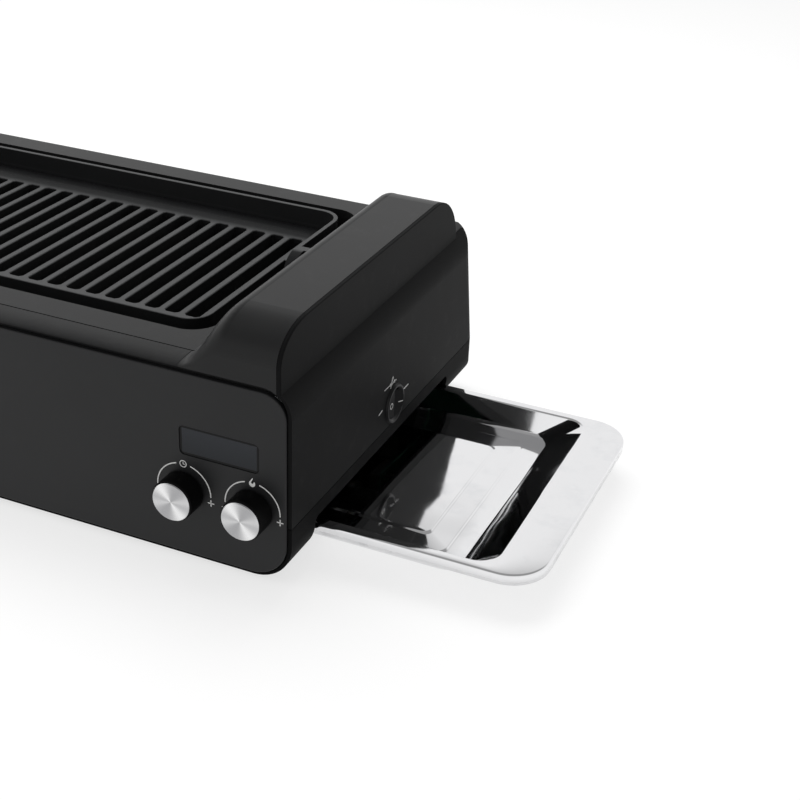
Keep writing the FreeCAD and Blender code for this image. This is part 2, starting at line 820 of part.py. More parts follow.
window_back = window_recess + window_thickness
panel = panel.cut(window_block(window_clearance, -1, window_back))
panel = panel.cut(window_block(-window_ledge, -1, panel_thickness + 1))
for x in (left_knob_x, right_knob_x):
    panel = panel.cut(rod(bush_radius + panel_gap, (x, -1, knob_height), (0, 1, 0), 10))
posts = []
for x, z in board_screw_places:
    posts.append(rod(board_post_radius, (x, panel_thickness - 1, z), (0, 1, 0),
                     board_y - panel_thickness + 1))
panel_screws = []
for x in (-panel_screw_x, panel_screw_x):
    for z in (panel_screw_low, panel_screw_high):
        posts.append(rod(post_radius, (x, panel_thickness - 1, z), (0, 1, 0),
                         web_front - panel_thickness + 1))
        shank = rod(screw_radius, (x, panel_thickness - screw_bite, z), (0, 1, 0),
                    web_back - panel_thickness + screw_bite)
        head = rod(screw_head_radius, (x, web_back, z), (0, 1, 0), screw_head_height)
        panel_screws.append(head.fuse(shank).removeSplitter())
panel = panel.multiFuse(posts)
for x in (-panel_screw_x, panel_screw_x):
    for z in (panel_screw_low, panel_screw_high):
        panel = panel.cut(rod(screw_radius, (x, panel_thickness - screw_bite, z), (0, 1, 0), web_back))
for x, z in board_screw_places:
    panel = panel.cut(rod(board_screw_radius, (x, board_y - board_screw_depth, z), (0, 1, 0), board_y))
save("front_panel", panel.removeSplitter())
save("display_window", window_block(0, window_recess, window_back))

# Control board, display and the two turning switches
board = block(board_left, board_right, board_y, board_y + board_thickness, board_low, board_high)
for x, z in board_screw_places:
    board = board.cut(rod(board_screw_radius + screw_clearance, (x, board_y - 1, z), (0, 1, 0), 10))
    shank = rod(board_screw_radius, (x, board_y - board_screw_depth, z), (0, 1, 0),
                board_screw_depth + board_thickness)
    head = rod(small_head_radius, (x, board_y + board_thickness, z), (0, 1, 0), small_head_height)
    panel_screws.append(head.fuse(shank).removeSplitter())
save("control_board", board)
save("panel_screws", panel_screws)
display = block(window_centre_x - display_width / 2, window_centre_x + display_width / 2,
                panel_thickness + panel_gap, board_y - display_stand,
                window_centre_z - display_height / 2, window_centre_z + display_height / 2)
for side in (-1, 1):
    x = window_centre_x + side * display_leg_spacing
    reach = display_height / 2 - display_leg_inset
    display = display.fuse(block(x - display_leg_width / 2, x + display_leg_width / 2,
                                 board_y - display_stand - 1, board_y,
                                 window_centre_z - reach, window_centre_z + reach))
save("display_module", display.removeSplitter())


def knob_set(name, x):
    """A knob, its spun cap, its shaft and the turning switch behind the panel."""
    back = -knob_gap
    face = -knob_reach + cap_thickness - cap_sink
    body = rod(knob_radius, (x, face, knob_height), (0, 1, 0), back - face)
    body = body.makeChamfer(knob_edge_radius, [e for e in body.Edges if len(e.Vertexes) == 1])
    body = body.cut(rod(cap_radius, (x, face - 1, knob_height), (0, 1, 0), 1 + cap_sink))
    body = body.cut(d_shaft(x, shaft_front, 0))
    save(name + "_knob", body)
    cap = rod(cap_radius, (x, -knob_reach, knob_height), (0, 1, 0), cap_thickness)
    cap = cap.makeChamfer(knob_edge_radius / 2, [e for e in cap.Edges if len(e.Vertexes) == 1
                                                and e.BoundBox.YMax < -knob_reach + 0.1])
    save(name + "_knob_cap", cap)
    save(name + "_shaft", d_shaft(x, shaft_front, shaft_back))
    body = block(x - encoder_size / 2, x + encoder_size / 2, encoder_front, board_y,
                 knob_height - encoder_size / 2, knob_height + encoder_size / 2)
    body = body.fuse(rod(bush_radius, (x, bush_front, knob_height), (0, 1, 0),
                         encoder_front - bush_front + 1))
    body = body.cut(rod(shaft_radius + shaft_clearance, (x, bush_front - 1, knob_height), (0, 1, 0),
                        shaft_back + seat_gap - bush_front + 1))
    save(name + "_encoder", body.removeSplitter())


def d_shaft(x, start, finish):
    """A round shaft whose front end has a flat for the knob."""
    shaft = rod(shaft_radius, (x, start, knob_height), (0, 1, 0), finish - start)
    flat = block(x - shaft_radius, x + shaft_radius, start - 1, 0, knob_height + shaft_flat,
                 knob_height + shaft_radius + 1)
    return shaft.cut(flat)


knob_set("timer", left_knob_x)
knob_set("heat", right_knob_x)

# Grate: a cast plate with tapered bars, a low rim in front and a high splash wall round the back
flange = opening_block(-flange_gap, flange_bottom, flange_top)
field = rounded_block(-field_half_length, field_half_length, field_front, slot_back + ledge_width,
                      [field_radius] * 2 + [0, 0], in_plan(flange_bottom), (0, 0, bar_depth))
field = field.makeFillet(edge_break, [e for e in field.Edges if abs(e.BoundBox.ZMin - bar_top) < 0.01
                                      and e.BoundBox.YMin < slot_back])
raised = rounded_block(-splash_half_length, splash_half_length, splash_end, splash_back,
                       [0, 0, splash_radius, splash_radius], in_plan(flange_bottom),
                       (0, 0, splash_top - flange_bottom))
inner_half, inner_back = splash_half_length - splash_thickness, splash_back - splash_thickness
inner_radius = splash_radius - splash_thickness
pocket = rounded_block(-inner_half, inner_half, opening_front, inner_back, [0, 0] + [inner_radius] * 2,
                       in_plan(ledge_height), (0, 0, splash_top))
ledge = Part.makeLoft([rounded_wire(-inner_half, inner_half, field_front, inner_back,
                                    [0, 0] + [inner_radius] * 2, in_plan(ledge_height)),
                       rounded_wire(-field_half_length, field_half_length, field_front, ledge_flat,
                                    [0, 0] + [inner_radius] * 2, in_plan(bar_top))], True, True)


def lug(side):
    """Finger lug: a rounded nose at the front end of the splash wall with a lip over the deck's edge."""
    inner, outer = splash_half_length - splash_thickness, opening_half_length - flange_gap
    back = splash_end + lug_depth
    low = Vector(inner, lug_foot, flange_top)
    middle = Vector(inner, lug_foot + lug_bow_along * (splash_end - lug_length - lug_foot),
                    flange_top + lug_bow_up * (splash_top - flange_top))
    high = Vector(inner, splash_end - lug_length, splash_top)
    outline = Part.Wire([Part.Arc(low, middle, high).toShape(),
                         Part.LineSegment(high, Vector(inner, back, splash_top)).toShape(),
                         Part.LineSegment(Vector(inner, back, splash_top),
                                          Vector(inner, back, flange_bottom)).toShape(),
                         Part.LineSegment(Vector(inner, back, flange_bottom),
                                          Vector(inner, lug_foot, flange_bottom)).toShape(),
                         Part.LineSegment(Vector(inner, lug_foot, flange_bottom), low).toShape()])
    ramp = Part.Face(outline).extrude(Vector(outer - inner, 0, 0))
    lip_low = deck_height + deck_clearance
    lip = block(outer - 1, opening_half_length + lug_reach, splash_end - lug_length, back, lip_low,
                splash_top)
    both = ramp.fuse(lip)
    return both if side > 0 else mirrored(both)


pitch = (2 * field_half_length - bar_width) / (bar_count - 1)
gap = pitch - bar_width
slot_front_y, slot_low = field_front + rim_width, flange_bottom - 1
flare = slot_flare * (bar_top - slot_low) / bar_depth


def slot_wire(half, ends, z):
    near, far, cut = slot_front_y - ends, slot_back + ends, slot_corner + ends / 2
    return polygon([(-half, near + cut, z), (-half + cut, near, z), (half - cut, near, z),
                    (half, near + cut, z), (half, far - cut, z), (half - cut, far, z),
                    (-half + cut, far, z), (-half, far - cut, z)])


slot_tool = Part.makeLoft([slot_wire(gap / 2 + flare, flare, slot_low), slot_wire(gap / 2, 0, bar_top)],
                          True, True)
slot_break = Part.makeLoft([slot_wire(gap / 2, 0, bar_top - edge_break),
                            slot_wire(gap / 2 + 2 * edge_break, 2 * edge_break, bar_top + edge_break)],
                           True, True)
slot_tool = slot_tool.fuse(slot_break)
slots = []
for i in range(bar_count - 1):
    tool = slot_tool.copy()
    tool.translate(Vector(-field_half_length + bar_width + gap / 2 + i * pitch, 0, 0))
    slots.append(tool)
under = rounded_block(-under_half, under_half, slot_back + rim_width + 1, inner_back - under_radius,
                      [under_radius] * 4, in_plan(flange_bottom - 1), (0, 0, under_height))
walls = raised.cut(pocket)
grate = walls.multiFuse([field, flange, ledge.common(raised)])
grate = grate.multiFuse([lug(1), lug(-1)]).cut(pocket.cut(ledge).common(
    block(-inner_half, inner_half, splash_end, splash_back, 0, splash_top)))
grate = grate.cut(under)
grate = grate.cut(Part.makeCompound(slots)).removeSplitter()
save("grate", grate)

# Inner liner: a sheet frame round the fire space, whose flange carries the grate
liner_top = flange_bottom - seat_gap
liner_outer = rounded_block(-liner_half_length - liner_thickness, liner_half_length + liner_thickness,
                            liner_front - liner_thickness, liner_back + liner_thickness, [liner_radius] * 4,
                            in_plan(liner_bottom), (0, 0, liner_top - liner_bottom))
liner_hole = rounded_block(-liner_half_length, liner_half_length, liner_front, liner_back,
                           [liner_radius - liner_thickness] * 4, in_plan(liner_bottom - 1),
                           (0, 0, liner_top - liner_bottom + 2))
liner_rim = opening_block(wall - seat_gap, liner_top - liner_thickness, liner_top)
ears = []
liner_screws = []
for x, y in ear_places:
    inner = math.copysign(opening_half_length, x)
    outer = math.copysign(ear_x + ear_radius, x)
    ears.append(block(min(inner, outer), max(inner, outer), y - ear_radius, y + ear_radius,
                      liner_top - liner_thickness, liner_top))
    shank = rod(screw_radius, (x, y, liner_top - liner_thickness), (0, 0, 1), ear_screw_length)
    head = rod(ear_head_radius, (x, y, liner_top - liner_thickness - screw_head_height), (0, 0, 1),
               screw_head_height)
    liner_screws.append(head.fuse(shank).removeSplitter())
liner = liner_outer.multiFuse([liner_rim] + ears).cut(liner_hole)
for x, y in ear_places:
    liner = liner.cut(rod(screw_radius + screw_clearance, (x, y, liner_bottom), (0, 0, 1),
                          liner_top - liner_bottom + 1))
leg_places = [heater_centre_y + (i - (heater_legs - 1) / 2) * heater_spacing for i in range(heater_legs)]
for y in (leg_places[0], leg_places[-1]):
    liner = liner.cut(rod(heater_radius + heater_hole_gap,
                          (-liner_half_length - 2 * liner_thickness, y, heater_height), (1, 0, 0),
                          3 * liner_thickness))
save("inner_liner", liner.removeSplitter())
save("liner_screws", liner_screws)

# Heating element: one tube bent back and forth, with both ends in a ceramic block outside the liner
path = []
end_x = -terminal_face - terminal_hold
turn = heater_spacing / 2
x_now = end_x
for i, y in enumerate(leg_places):
    away = 1 if i % 2 == 0 else -1
    last = i == heater_legs - 1
    x_next = end_x if last else away * heater_half_length
    path.append(Part.LineSegment(Vector(x_now, y, heater_height), Vector(x_next, y, heater_height)).toShape())
    if not last:
        path.append(Part.Arc(Vector(x_next, y, heater_height),
                             Vector(x_next + away * turn, y + turn, heater_height),
                             Vector(x_next, y + heater_spacing, heater_height)).toShape())
    x_now = x_next
heater_path = Part.Wire(path)
ring = Part.Wire(Part.makeCircle(heater_radius, Vector(end_x, leg_places[0], heater_height), Vector(1, 0, 0)))
heater = heater_path.makePipeShell([ring], True, False)
print("heater volume ratio", heater.Volume / (math.pi * heater_radius ** 2 * heater_path.Length))
save("heating_element", heater)

clips = []
clip_top = heater_height - heater_radius - seat_gap
for i in range(clip_count):
    x = (i - (clip_count - 1) / 2) * clip_spacing
    x0, x1 = x - clip_width / 2, x + clip_width / 2
    bridge = block(x0, x1, liner_front + seat_gap, liner_back - seat_gap, clip_top - liner_thickness,
                   clip_top)
    folds = [block(x0, x1, y, y + liner_thickness, clip_top - clip_drop, clip_top)
             for y in (liner_front + seat_gap, liner_back - seat_gap - liner_thickness)]
    for y in leg_places:
        for side in (-1, 1):
            cheek_y = y + side * (heater_radius + seat_gap + liner_thickness / 2)
            folds.append(block(x0, x1, cheek_y - liner_thickness / 2, cheek_y + liner_thickness / 2,
                               clip_top - liner_thickness / 2, heater_height))
    clips.append(bridge.multiFuse(folds).removeSplitter())
save("element_clips", clips)

terminal = block(-terminal_face - terminal_depth, -terminal_face,
                 leg_places[0] - terminal_overhang, leg_places[-1] + terminal_overhang,
                 heater_height - terminal_half_height, heater_height + terminal_half_height)
for y in (leg_places[0] + terminal_arm_inset, leg_places[-1] - terminal_arm_inset):
    terminal = terminal.fuse(block(-terminal_face, -liner_half_length - liner_thickness,
                                   y - terminal_arm_width / 2, y + terminal_arm_width / 2,
                                   heater_height - terminal_arm_half_height,
                                   heater_height + terminal_arm_half_height))
for y in (leg_places[0], leg_places[-1]):
    terminal = terminal.cut(rod(heater_radius + terminal_fit, (end_x, y, heater_height), (1, 0, 0),
                                terminal_depth))
save("terminal_block", terminal.removeSplitter())
cutout_x = liner_half_length + liner_thickness
cutout = rod(cutout_radius, (cutout_x, cutout_y, cutout_z), (1, 0, 0), cutout_depth)
for side in (-1, 1):
    y = cutout_y + side * (cutout_radius - cutout_tab_width / 2)
    cutout = cutout.fuse(block(cutout_x + cutout_depth - 1, cutout_x + cutout_depth + cutout_tab_length,
                               y - cutout_tab_width / 2, y + cutout_tab_width / 2,
                               cutout_z - tab_sheet / 2, cutout_z + tab_sheet / 2))
save("thermal_cutout", cutout.removeSplitter())

# Tray: pressed sheet with a wide flange at its handle end, a turned-down edge and a stepped floor
tray_right = half_length + tray_reach
tray_left = tray_right - tray_length
tray_low_y, tray_high_y = tray_centre_y - tray_width / 2, tray_centre_y + tray_width / 2


def tray_outline(side, end, radius, z):
    return rounded_wire(tray_left + side, tray_right - end, tray_low_y + side, tray_high_y - side,
                        [radius] * 4, in_plan(z))


def tray_block(side, end, radius, z0, z1):
    return Part.Face(tray_outline(side, end, radius, z0)).extrude(Vector(0, 0, z1 - z0))


tray_floor = tray_top - tray_depth
plate = tray_block(0, 0, tray_radius, tray_top - tray_sheet, tray_top)
skirt_ring = tray_block(0, 0, tray_radius, tray_top - tray_turn_down, tray_top).cut(
    tray_block(tray_sheet, tray_sheet, tray_radius - tray_sheet, 0, tray_top - tray_sheet / 2))
bowl_outer = Part.makeLoft(
    [tray_outline(tray_side_flange + basin_slope - tray_sheet, tray_end_flange + basin_slope - tray_sheet,
                  basin_radius - basin_slope / 2, tray_floor),
     tray_outline(tray_side_flange - tray_sheet, tray_end_flange - tray_sheet, basin_radius + tray_sheet,
                  tray_top)], True, True)
bowl_inner = Part.makeLoft(
    [tray_outline(tray_side_flange + basin_slope, tray_end_flange + basin_slope,
                  basin_radius - basin_slope / 2 - tray_sheet, tray_floor + tray_sheet),
     tray_outline(tray_side_flange, tray_end_flange, basin_radius, tray_top + 0.01)], True, True)
tray = plate.multiFuse([skirt_ring, bowl_outer]).cut(bowl_inner)
for i, inset in enumerate(floor_insets):
    low_z = tray_floor + i * floor_step
    lip = tray_side_flange + basin_slope
    end_lip = tray_end_flange + basin_slope
    radius = max(basin_radius - inset / 3, 4)
    tray = tray.fuse(tray_block(lip + inset, end_lip + inset, radius, low_z + tray_sheet / 2,
                                low_z + tray_sheet + floor_step))
    tray = tray.cut(tray_block(lip + inset + tray_sheet, end_lip + inset + tray_sheet, radius - tray_sheet,
                               low_z - 1, low_z + floor_step))
save("tray", tray.removeSplitter())

# Rails: folded channels on the tub's floor that carry and hold down the tray's edges
shelf_top = tray_top - tray_turn_down - rail_clearance
keeper = tray_top + rail_clearance
web = tray_low_y - rail_clearance


def rail(mirror):
    x0, x1 = -rail_half_length, rail_half_length
    pieces = [block(x0, x1, web - rail_thickness, web, floor_top, keeper + rail_thickness),
              block(x0, x1, web - rail_foot, web, floor_top, floor_top + rail_thickness),
              block(x0, x1, web - 0.1, web + rail_shelf, shelf_top - rail_thickness, shelf_top),
              block(x0, x1, web - 0.1, web + rail_shelf, keeper, keeper + rail_thickness)]
    shape = fused(pieces)
    return shape.mirror(Vector(0, tray_centre_y, 0), Vector(0, 1, 0)) if mirror else shape


save("tray_rail_front", rail(False))
save("tray_rail_rear", rail(True))

# Rocker switch
barrel = rod(rocker_body_radius, (rocker_inner_x, rocker_y, rocker_z), (1, 0, 0), rocker_depth)
flare_ring = Part.makeCone(rocker_flange_radius, rocker_flange_radius - rocker_flange_height / 2,
                           rocker_flange_height, Vector(half_length, rocker_y, rocker_z), Vector(1, 0, 0))
bezel = barrel.fuse(flare_ring)
bezel = bezel.cut(rod(rocker_bore, (rocker_inner_x + rocker_floor, rocker_y, rocker_z), (1, 0, 0),
                      rocker_depth))
dish = Part.makeCone(rocker_bore, rocker_bore + rocker_dish, rocker_dish,
                     Vector(half_length + rocker_flange_height - rocker_dish, rocker_y, rocker_z),
                     Vector(1, 0, 0))
bezel = bezel.cut(dish)
pivot_x = half_length - rocker_pivot_depth
pin_reach = rocker_body_radius - rocker_pin_wall
bezel = bezel.cut(rod(rocker_pin + pin_clearance, (pivot_x, rocker_y, rocker_z - pin_reach), (0, 0, 1),
                      2 * pin_reach))
for i in (-1, 0, 1):
    y = rocker_y + i * blade_spacing
    bezel = bezel.fuse(block(rocker_inner_x - blade_length, rocker_inner_x + 1, y - tab_sheet / 2,
                             y + tab_sheet / 2, rocker_z - blade_width / 2, rocker_z + blade_width / 2))
save("rocker_bezel", bezel.removeSplitter())
valley = half_length + rocker_flange_height - rocker_valley
crest = valley + rocker_radius * math.tan(math.radians(rocker_angle))
back_x = half_length - rocker_back
button = prism([(back_x, rocker_y - rocker_radius, rocker_z - rocker_radius),
                (crest, rocker_y - rocker_radius, rocker_z - rocker_radius),
                (valley, rocker_y, rocker_z - rocker_radius),
                (crest, rocker_y + rocker_radius, rocker_z - rocker_radius),
                (back_x, rocker_y + rocker_radius, rocker_z - rocker_radius)], (0, 0, 2 * rocker_radius))
button = button.common(rod(rocker_radius, (back_x - 1, rocker_y, rocker_z), (1, 0, 0),
                           rocker_depth))
swing = math.hypot(crest - pivot_x, rocker_radius) - rocker_swing_play
button = button.common(rod(swing, (pivot_x, rocker_y, rocker_z - rocker_radius), (0, 0, 1),
                           2 * rocker_radius))
pin_half = pin_reach - rocker_pin_play
button = button.fuse(rod(rocker_pin, (pivot_x, rocker_y, rocker_z - pin_half), (0, 0, 1), 2 * pin_half))
button.rotate(Vector(pivot_x, rocker_y, rocker_z), Vector(0, 0, 1), -rocker_angle)
save("rocker", button.removeSplitter())


# Skewer drive: a row of meshing gears behind the right housing's inner wall
def gear(y, z, tooth_at, bore, web):
    """A spur gear about the X axis; its first tooth points tooth_at degrees from +Y towards +Z. A web of this
    thickness closes its bore towards the grill."""
    pressure = math.radians(20)
    base = gear_pitch_radius * math.cos(pressure)
    tip = gear_pitch_radius + tooth_addendum * gear_module
    root = gear_pitch_radius - tooth_dedendum * gear_module
    half_pitch_angle = (math.pi * gear_module / 2 - gear_backlash) / (2 * gear_pitch_radius)

    def involute(r):
        a = math.acos(min(base / r, 1.0))
        return math.tan(a) - a

    def half_angle(r):
        return half_pitch_angle + involute(gear_pitch_radius) - involute(max(r, base))

    flank = [root, base, gear_pitch_radius, tip]
    points = []
    for i in range(gear_teeth):
        centre = math.radians(tooth_at) + 2 * math.pi * i / gear_teeth
        for r in flank:
            points.append((r, centre - half_angle(r)))
        for r in reversed(flank):
            points.append((r, centre + half_angle(r)))
    outline = [(gear_plane, y + r * math.cos(a), z + r * math.sin(a)) for r, a in points]
    wheel = prism(outline, (gear_width, 0, 0))
    start = gear_plane + web if web > 0 else gear_plane - 1
    return wheel.cut(rod(bore, (start, y, z), (1, 0, 0), gear_width + 2))


half_tooth = 180 / gear_teeth
plate_x = gear_plane + gear_width + plate_gap
for i, y in enumerate(skewer_places):
    wheel = gear(y, skewer_height, 0, pin_radius + pin_clearance, gear_web)
    save("skewer_gear_" + str(i + 1), wheel)
    hub = rod(hub_radius, (hub_end, y, skewer_height), (1, 0, 0), gear_plane - hub_end)
    square = block(hub_end - 1, hub_end + socket_depth, y - socket_side / 2, y + socket_side / 2,
                   skewer_height - socket_side / 2, skewer_height + socket_side / 2)
    mouth = Part.makeCone(hub_radius - 1, socket_side / 2, hub_radius - 1 - socket_side / 2,
                          Vector(hub_end, y, skewer_height), Vector(1, 0, 0))
    save("skewer_socket_" + str(i + 1), hub.cut(square).cut(mouth).removeSplitter())
for i, y in enumerate(idler_places):
    wheel = gear(y, skewer_height, half_tooth, pin_radius + pin_clearance, 0)
    save("idler_gear_" + str(i + 1), wheel)
motor_z = skewer_height - 2 * gear_pitch_radius
pinion = gear(skewer_middle_y, motor_z, 90 + half_tooth, motor_shaft_radius, 0)
motor_shaft = rod(motor_shaft_radius, (gear_plane, skewer_middle_y, motor_z), (1, 0, 0),
                  plate_x + plate_thickness + motor_shaft_hold - gear_plane)
save("motor_pinion", pinion.fuse(motor_shaft).removeSplitter())

housing_ceiling = housing_height - wall - seat_gap


def bearing_plate(mounts_motor):
    """A folded plate with the top flange that hangs it under the housing."""
    upper = rounded_block(plate_front, plate_back, plate_low, housing_ceiling,
                          [plate_low_corner] * 2 + [plate_corner] * 2, in_side(plate_x),
                          (plate_thickness, 0, 0))
    lip = block(plate_x, plate_x + plate_flange, plate_front + plate_corner, plate_back - plate_corner,
                housing_ceiling - plate_thickness, housing_ceiling)
    pieces = [upper, lip]
    if mounts_motor:
        reach = motor_radius + plate_margin
        pieces.append(rounded_block(skewer_middle_y - reach, skewer_middle_y + reach,
                                    motor_z - motor_radius, skewer_height, [motor_tab_corner] * 2 + [0, 0],
                                    in_side(plate_x), (plate_thickness, 0, 0)))
    return fused(pieces)


drive_plate = bearing_plate(True)
pin_start = gear_plane + gear_web + seat_gap
for y in skewer_places + idler_places:
    drive_plate = drive_plate.fuse(rod(pin_radius, (pin_start, y, skewer_height), (1, 0, 0),
                                       plate_x + plate_thickness / 2 - pin_start))
drive_plate = drive_plate.cut(rod(motor_boss_radius + seat_gap, (plate_x - 1, skewer_middle_y, motor_z),
                                  (1, 0, 0), plate_thickness + 2))
motor = rod(motor_radius, (plate_x + plate_thickness, skewer_middle_y, motor_z), (1, 0, 0), motor_length)
motor = motor.makeChamfer(motor_edge, [e for e in motor.Edges if len(e.Vertexes) == 1
                                       and e.BoundBox.XMin > plate_x + plate_thickness + 1])
motor = motor.fuse(rod(motor_boss_radius, (plate_x + seat_gap, skewer_middle_y, motor_z), (1, 0, 0),
                       motor_boss_length))
motor = motor.cut(rod(motor_shaft_radius + pin_clearance, (plate_x - 1, skewer_middle_y, motor_z), (1, 0, 0),
                      1 + plate_thickness + motor_shaft_hold + seat_gap))
motor_screws = []
ear_reach = motor_screw_offset + post_radius
ear_z = motor_z - motor_ear_drop
motor = motor.fuse(rounded_block(skewer_middle_y - ear_reach, skewer_middle_y + ear_reach,
                                 ear_z - post_radius, ear_z + post_radius, [post_radius - 0.01] * 4,
                                 in_side(plate_x + plate_thickness), (motor_ear_thickness, 0, 0)))
for side in (-1, 1):
    y = skewer_middle_y + side * motor_screw_offset
    shank = rod(screw_radius, (plate_x, y, ear_z), (1, 0, 0), plate_thickness + motor_ear_thickness)
    motor = motor.cut(shank)
    drive_plate = drive_plate.cut(rod(screw_radius + screw_clearance, (plate_x - 1, y, ear_z),
                                      (1, 0, 0), plate_thickness + 2))
    head = rod(small_head_radius, (plate_x - small_head_height, y, ear_z), (1, 0, 0), small_head_height)
    motor_screws.append(head.fuse(shank).removeSplitter())
save("drive_plate", drive_plate.removeSplitter())
save("drive_motor", motor.removeSplitter())
save("motor_screws", motor_screws)

# Left housing: the plate and bushes that carry the skewers' free ends
bush_plate = bearing_plate(False)
for i, y in enumerate(skewer_places):
    bush = rod(hub_radius, (hub_end, y, skewer_height), (1, 0, 0), plate_x + plate_thickness - hub_end)
    bush = bush.fuse(rod(bush_collar_radius, (plate_x - bush_collar, y, skewer_height), (1, 0, 0),
                         bush_collar))
    bore = rod(bush_bore_radius, (hub_end - 1, y, skewer_height), (1, 0, 0), bush_depth + 1)
    save("skewer_bush_" + str(i + 1), mirrored(bush.cut(bore)).removeSplitter())
    bush_plate = bush_plate.cut(rod(hub_radius, (plate_x - 1, y, skewer_height), (1, 0, 0),
                                plate_thickness + 2))
save("bush_plate", mirrored(bush_plate).removeSplitter())

# Power board on its posts, feet and base screws
margin_y, margin_z = power_board_margin
power_face = power_x - board_thickness
power = block(power_face, power_x, power_y[0] - margin_y, power_y[1] + margin_y,
              power_post_z[0] - margin_z, power_post_z[1] + margin_z)
relay_y, relay_z = power_y[0] + relay_offset[0], power_post_z[0] + relay_offset[1]
relay = block(power_face - relay_size[0], power_face, relay_y, relay_y + relay_size[1],
              relay_z, relay_z + relay_size[2])
capacitor = rod(capacitor_radius, (power_face - capacitor_length, power_y[0] + capacitor_offset[0],
                                   power_post_z[0] + capacitor_offset[1]), (1, 0, 0), capacitor_length)
save("power_board", power.multiFuse([relay, capacitor]).removeSplitter())
feet = []
for x, y in foot_places:
    foot = rod(foot_radius, (x, y, 0), (0, 0, 1), foot_height)
    foot = foot.makeChamfer(foot_edge, [e for e in foot.Edges if len(e.Vertexes) == 1
                                        and e.BoundBox.ZMax < 0.1])
    plug = rod(foot_plug_radius, (x, y, foot_height - 1), (0, 0, 1), wall + 2)
    feet.append(foot.fuse(plug).removeSplitter())
save("feet", feet)
base_screws = []
for x, y in post_places:
    head = rod(screw_head_radius, (x, y, floor_top - screw_head_height), (0, 0, 1), screw_head_height)
    shank = rod(screw_radius, (x, y, floor_top), (0, 0, 1),
                seam_height + boss_height - wall - 1 - floor_top)
    base_screws.append(head.fuse(shank).removeSplitter())
save("base_screws", base_screws)
save("rear_screws", rear_screws)
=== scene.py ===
import math

import bmesh
import bpy
from mathutils import Matrix, Vector
from mathutils.bvhtree import BVHTree


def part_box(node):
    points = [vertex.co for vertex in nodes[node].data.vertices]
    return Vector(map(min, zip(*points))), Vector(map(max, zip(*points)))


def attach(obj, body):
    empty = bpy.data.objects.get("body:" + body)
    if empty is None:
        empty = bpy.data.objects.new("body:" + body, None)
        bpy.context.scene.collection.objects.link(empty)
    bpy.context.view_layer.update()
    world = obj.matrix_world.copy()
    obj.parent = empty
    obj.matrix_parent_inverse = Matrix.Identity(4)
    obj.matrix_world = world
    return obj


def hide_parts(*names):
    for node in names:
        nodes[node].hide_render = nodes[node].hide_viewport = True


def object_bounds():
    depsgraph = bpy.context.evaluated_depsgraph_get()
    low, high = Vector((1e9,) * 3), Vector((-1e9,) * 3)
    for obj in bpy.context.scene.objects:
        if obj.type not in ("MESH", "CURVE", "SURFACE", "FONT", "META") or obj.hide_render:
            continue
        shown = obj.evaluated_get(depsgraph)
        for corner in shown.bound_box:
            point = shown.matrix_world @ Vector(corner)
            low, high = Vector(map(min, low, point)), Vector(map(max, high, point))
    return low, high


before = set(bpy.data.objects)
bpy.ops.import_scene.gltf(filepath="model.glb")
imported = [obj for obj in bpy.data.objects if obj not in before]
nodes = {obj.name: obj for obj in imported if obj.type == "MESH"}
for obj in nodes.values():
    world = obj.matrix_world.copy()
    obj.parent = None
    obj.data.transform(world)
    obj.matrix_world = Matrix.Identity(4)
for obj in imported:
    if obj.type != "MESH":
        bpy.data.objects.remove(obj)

cad_low, cad_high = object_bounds()

# Base tub
# One black ABS moulding that carries everything else: flat floor, rounded lower corners and the slot for the
# tray in its right end. Its skin keeps the fine spark-eroded texture of the mould.


class Signal:
    """An output of a node. Arithmetic on it adds Math nodes, so a rule for a surface reads as a formula."""

    def __init__(self, graph, socket):
        self.graph = graph
        self.socket = socket

    def __add__(self, other):
        return self.graph.maths("ADD", self, other)

    def __sub__(self, other):
        return self.graph.maths("SUBTRACT", self, other)

    def __rsub__(self, other):
        return self.graph.maths("SUBTRACT", other, self)

    def __mul__(self, other):
        return self.graph.maths("MULTIPLY", self, other)

    def __truediv__(self, other):
        return self.graph.maths("DIVIDE", self, other)

    def __pow__(self, other):
        return self.graph.maths("POWER", self, other)

    def __lt__(self, other):
        return self.graph.maths("LESS_THAN", self, other)

    def __gt__(self, other):
        return self.graph.maths("GREATER_THAN", self, other)

    def __abs__(self):
        return self.graph.maths("ABSOLUTE", self)

    __radd__ = __add__
    __rmul__ = __mul__

    def over(self, low, high):
        """0 at low, 1 at high, and straight between."""
        return self.graph.maths("MULTIPLY", self - low, 1 / (high - low), clamp=True)


class Graph:
    """A node tree with one way to add any node: its settings first, then its sockets' values or links."""

    def __init__(self, tree):
        self.tree = tree

    def node(self, kind, settings=None, sockets=None, output=0):
        made = self.tree.nodes.new(kind)
        for key, value in (settings or {}).items():
            setattr(made, key, value)
        for key, value in (sockets or {}).items():
            self.feed(made.inputs[key], value)
        return Signal(self, made.outputs[output]) if made.outputs else None

    def maths(self, operation, *values, clamp=False):
        return self.node("ShaderNodeMath", {"operation": operation, "use_clamp": clamp},
                         dict(enumerate(values)))

    def feed(self, socket, value):
        if isinstance(value, Signal):
            self.tree.links.new(value.socket, socket)
        else:
            socket.default_value = value


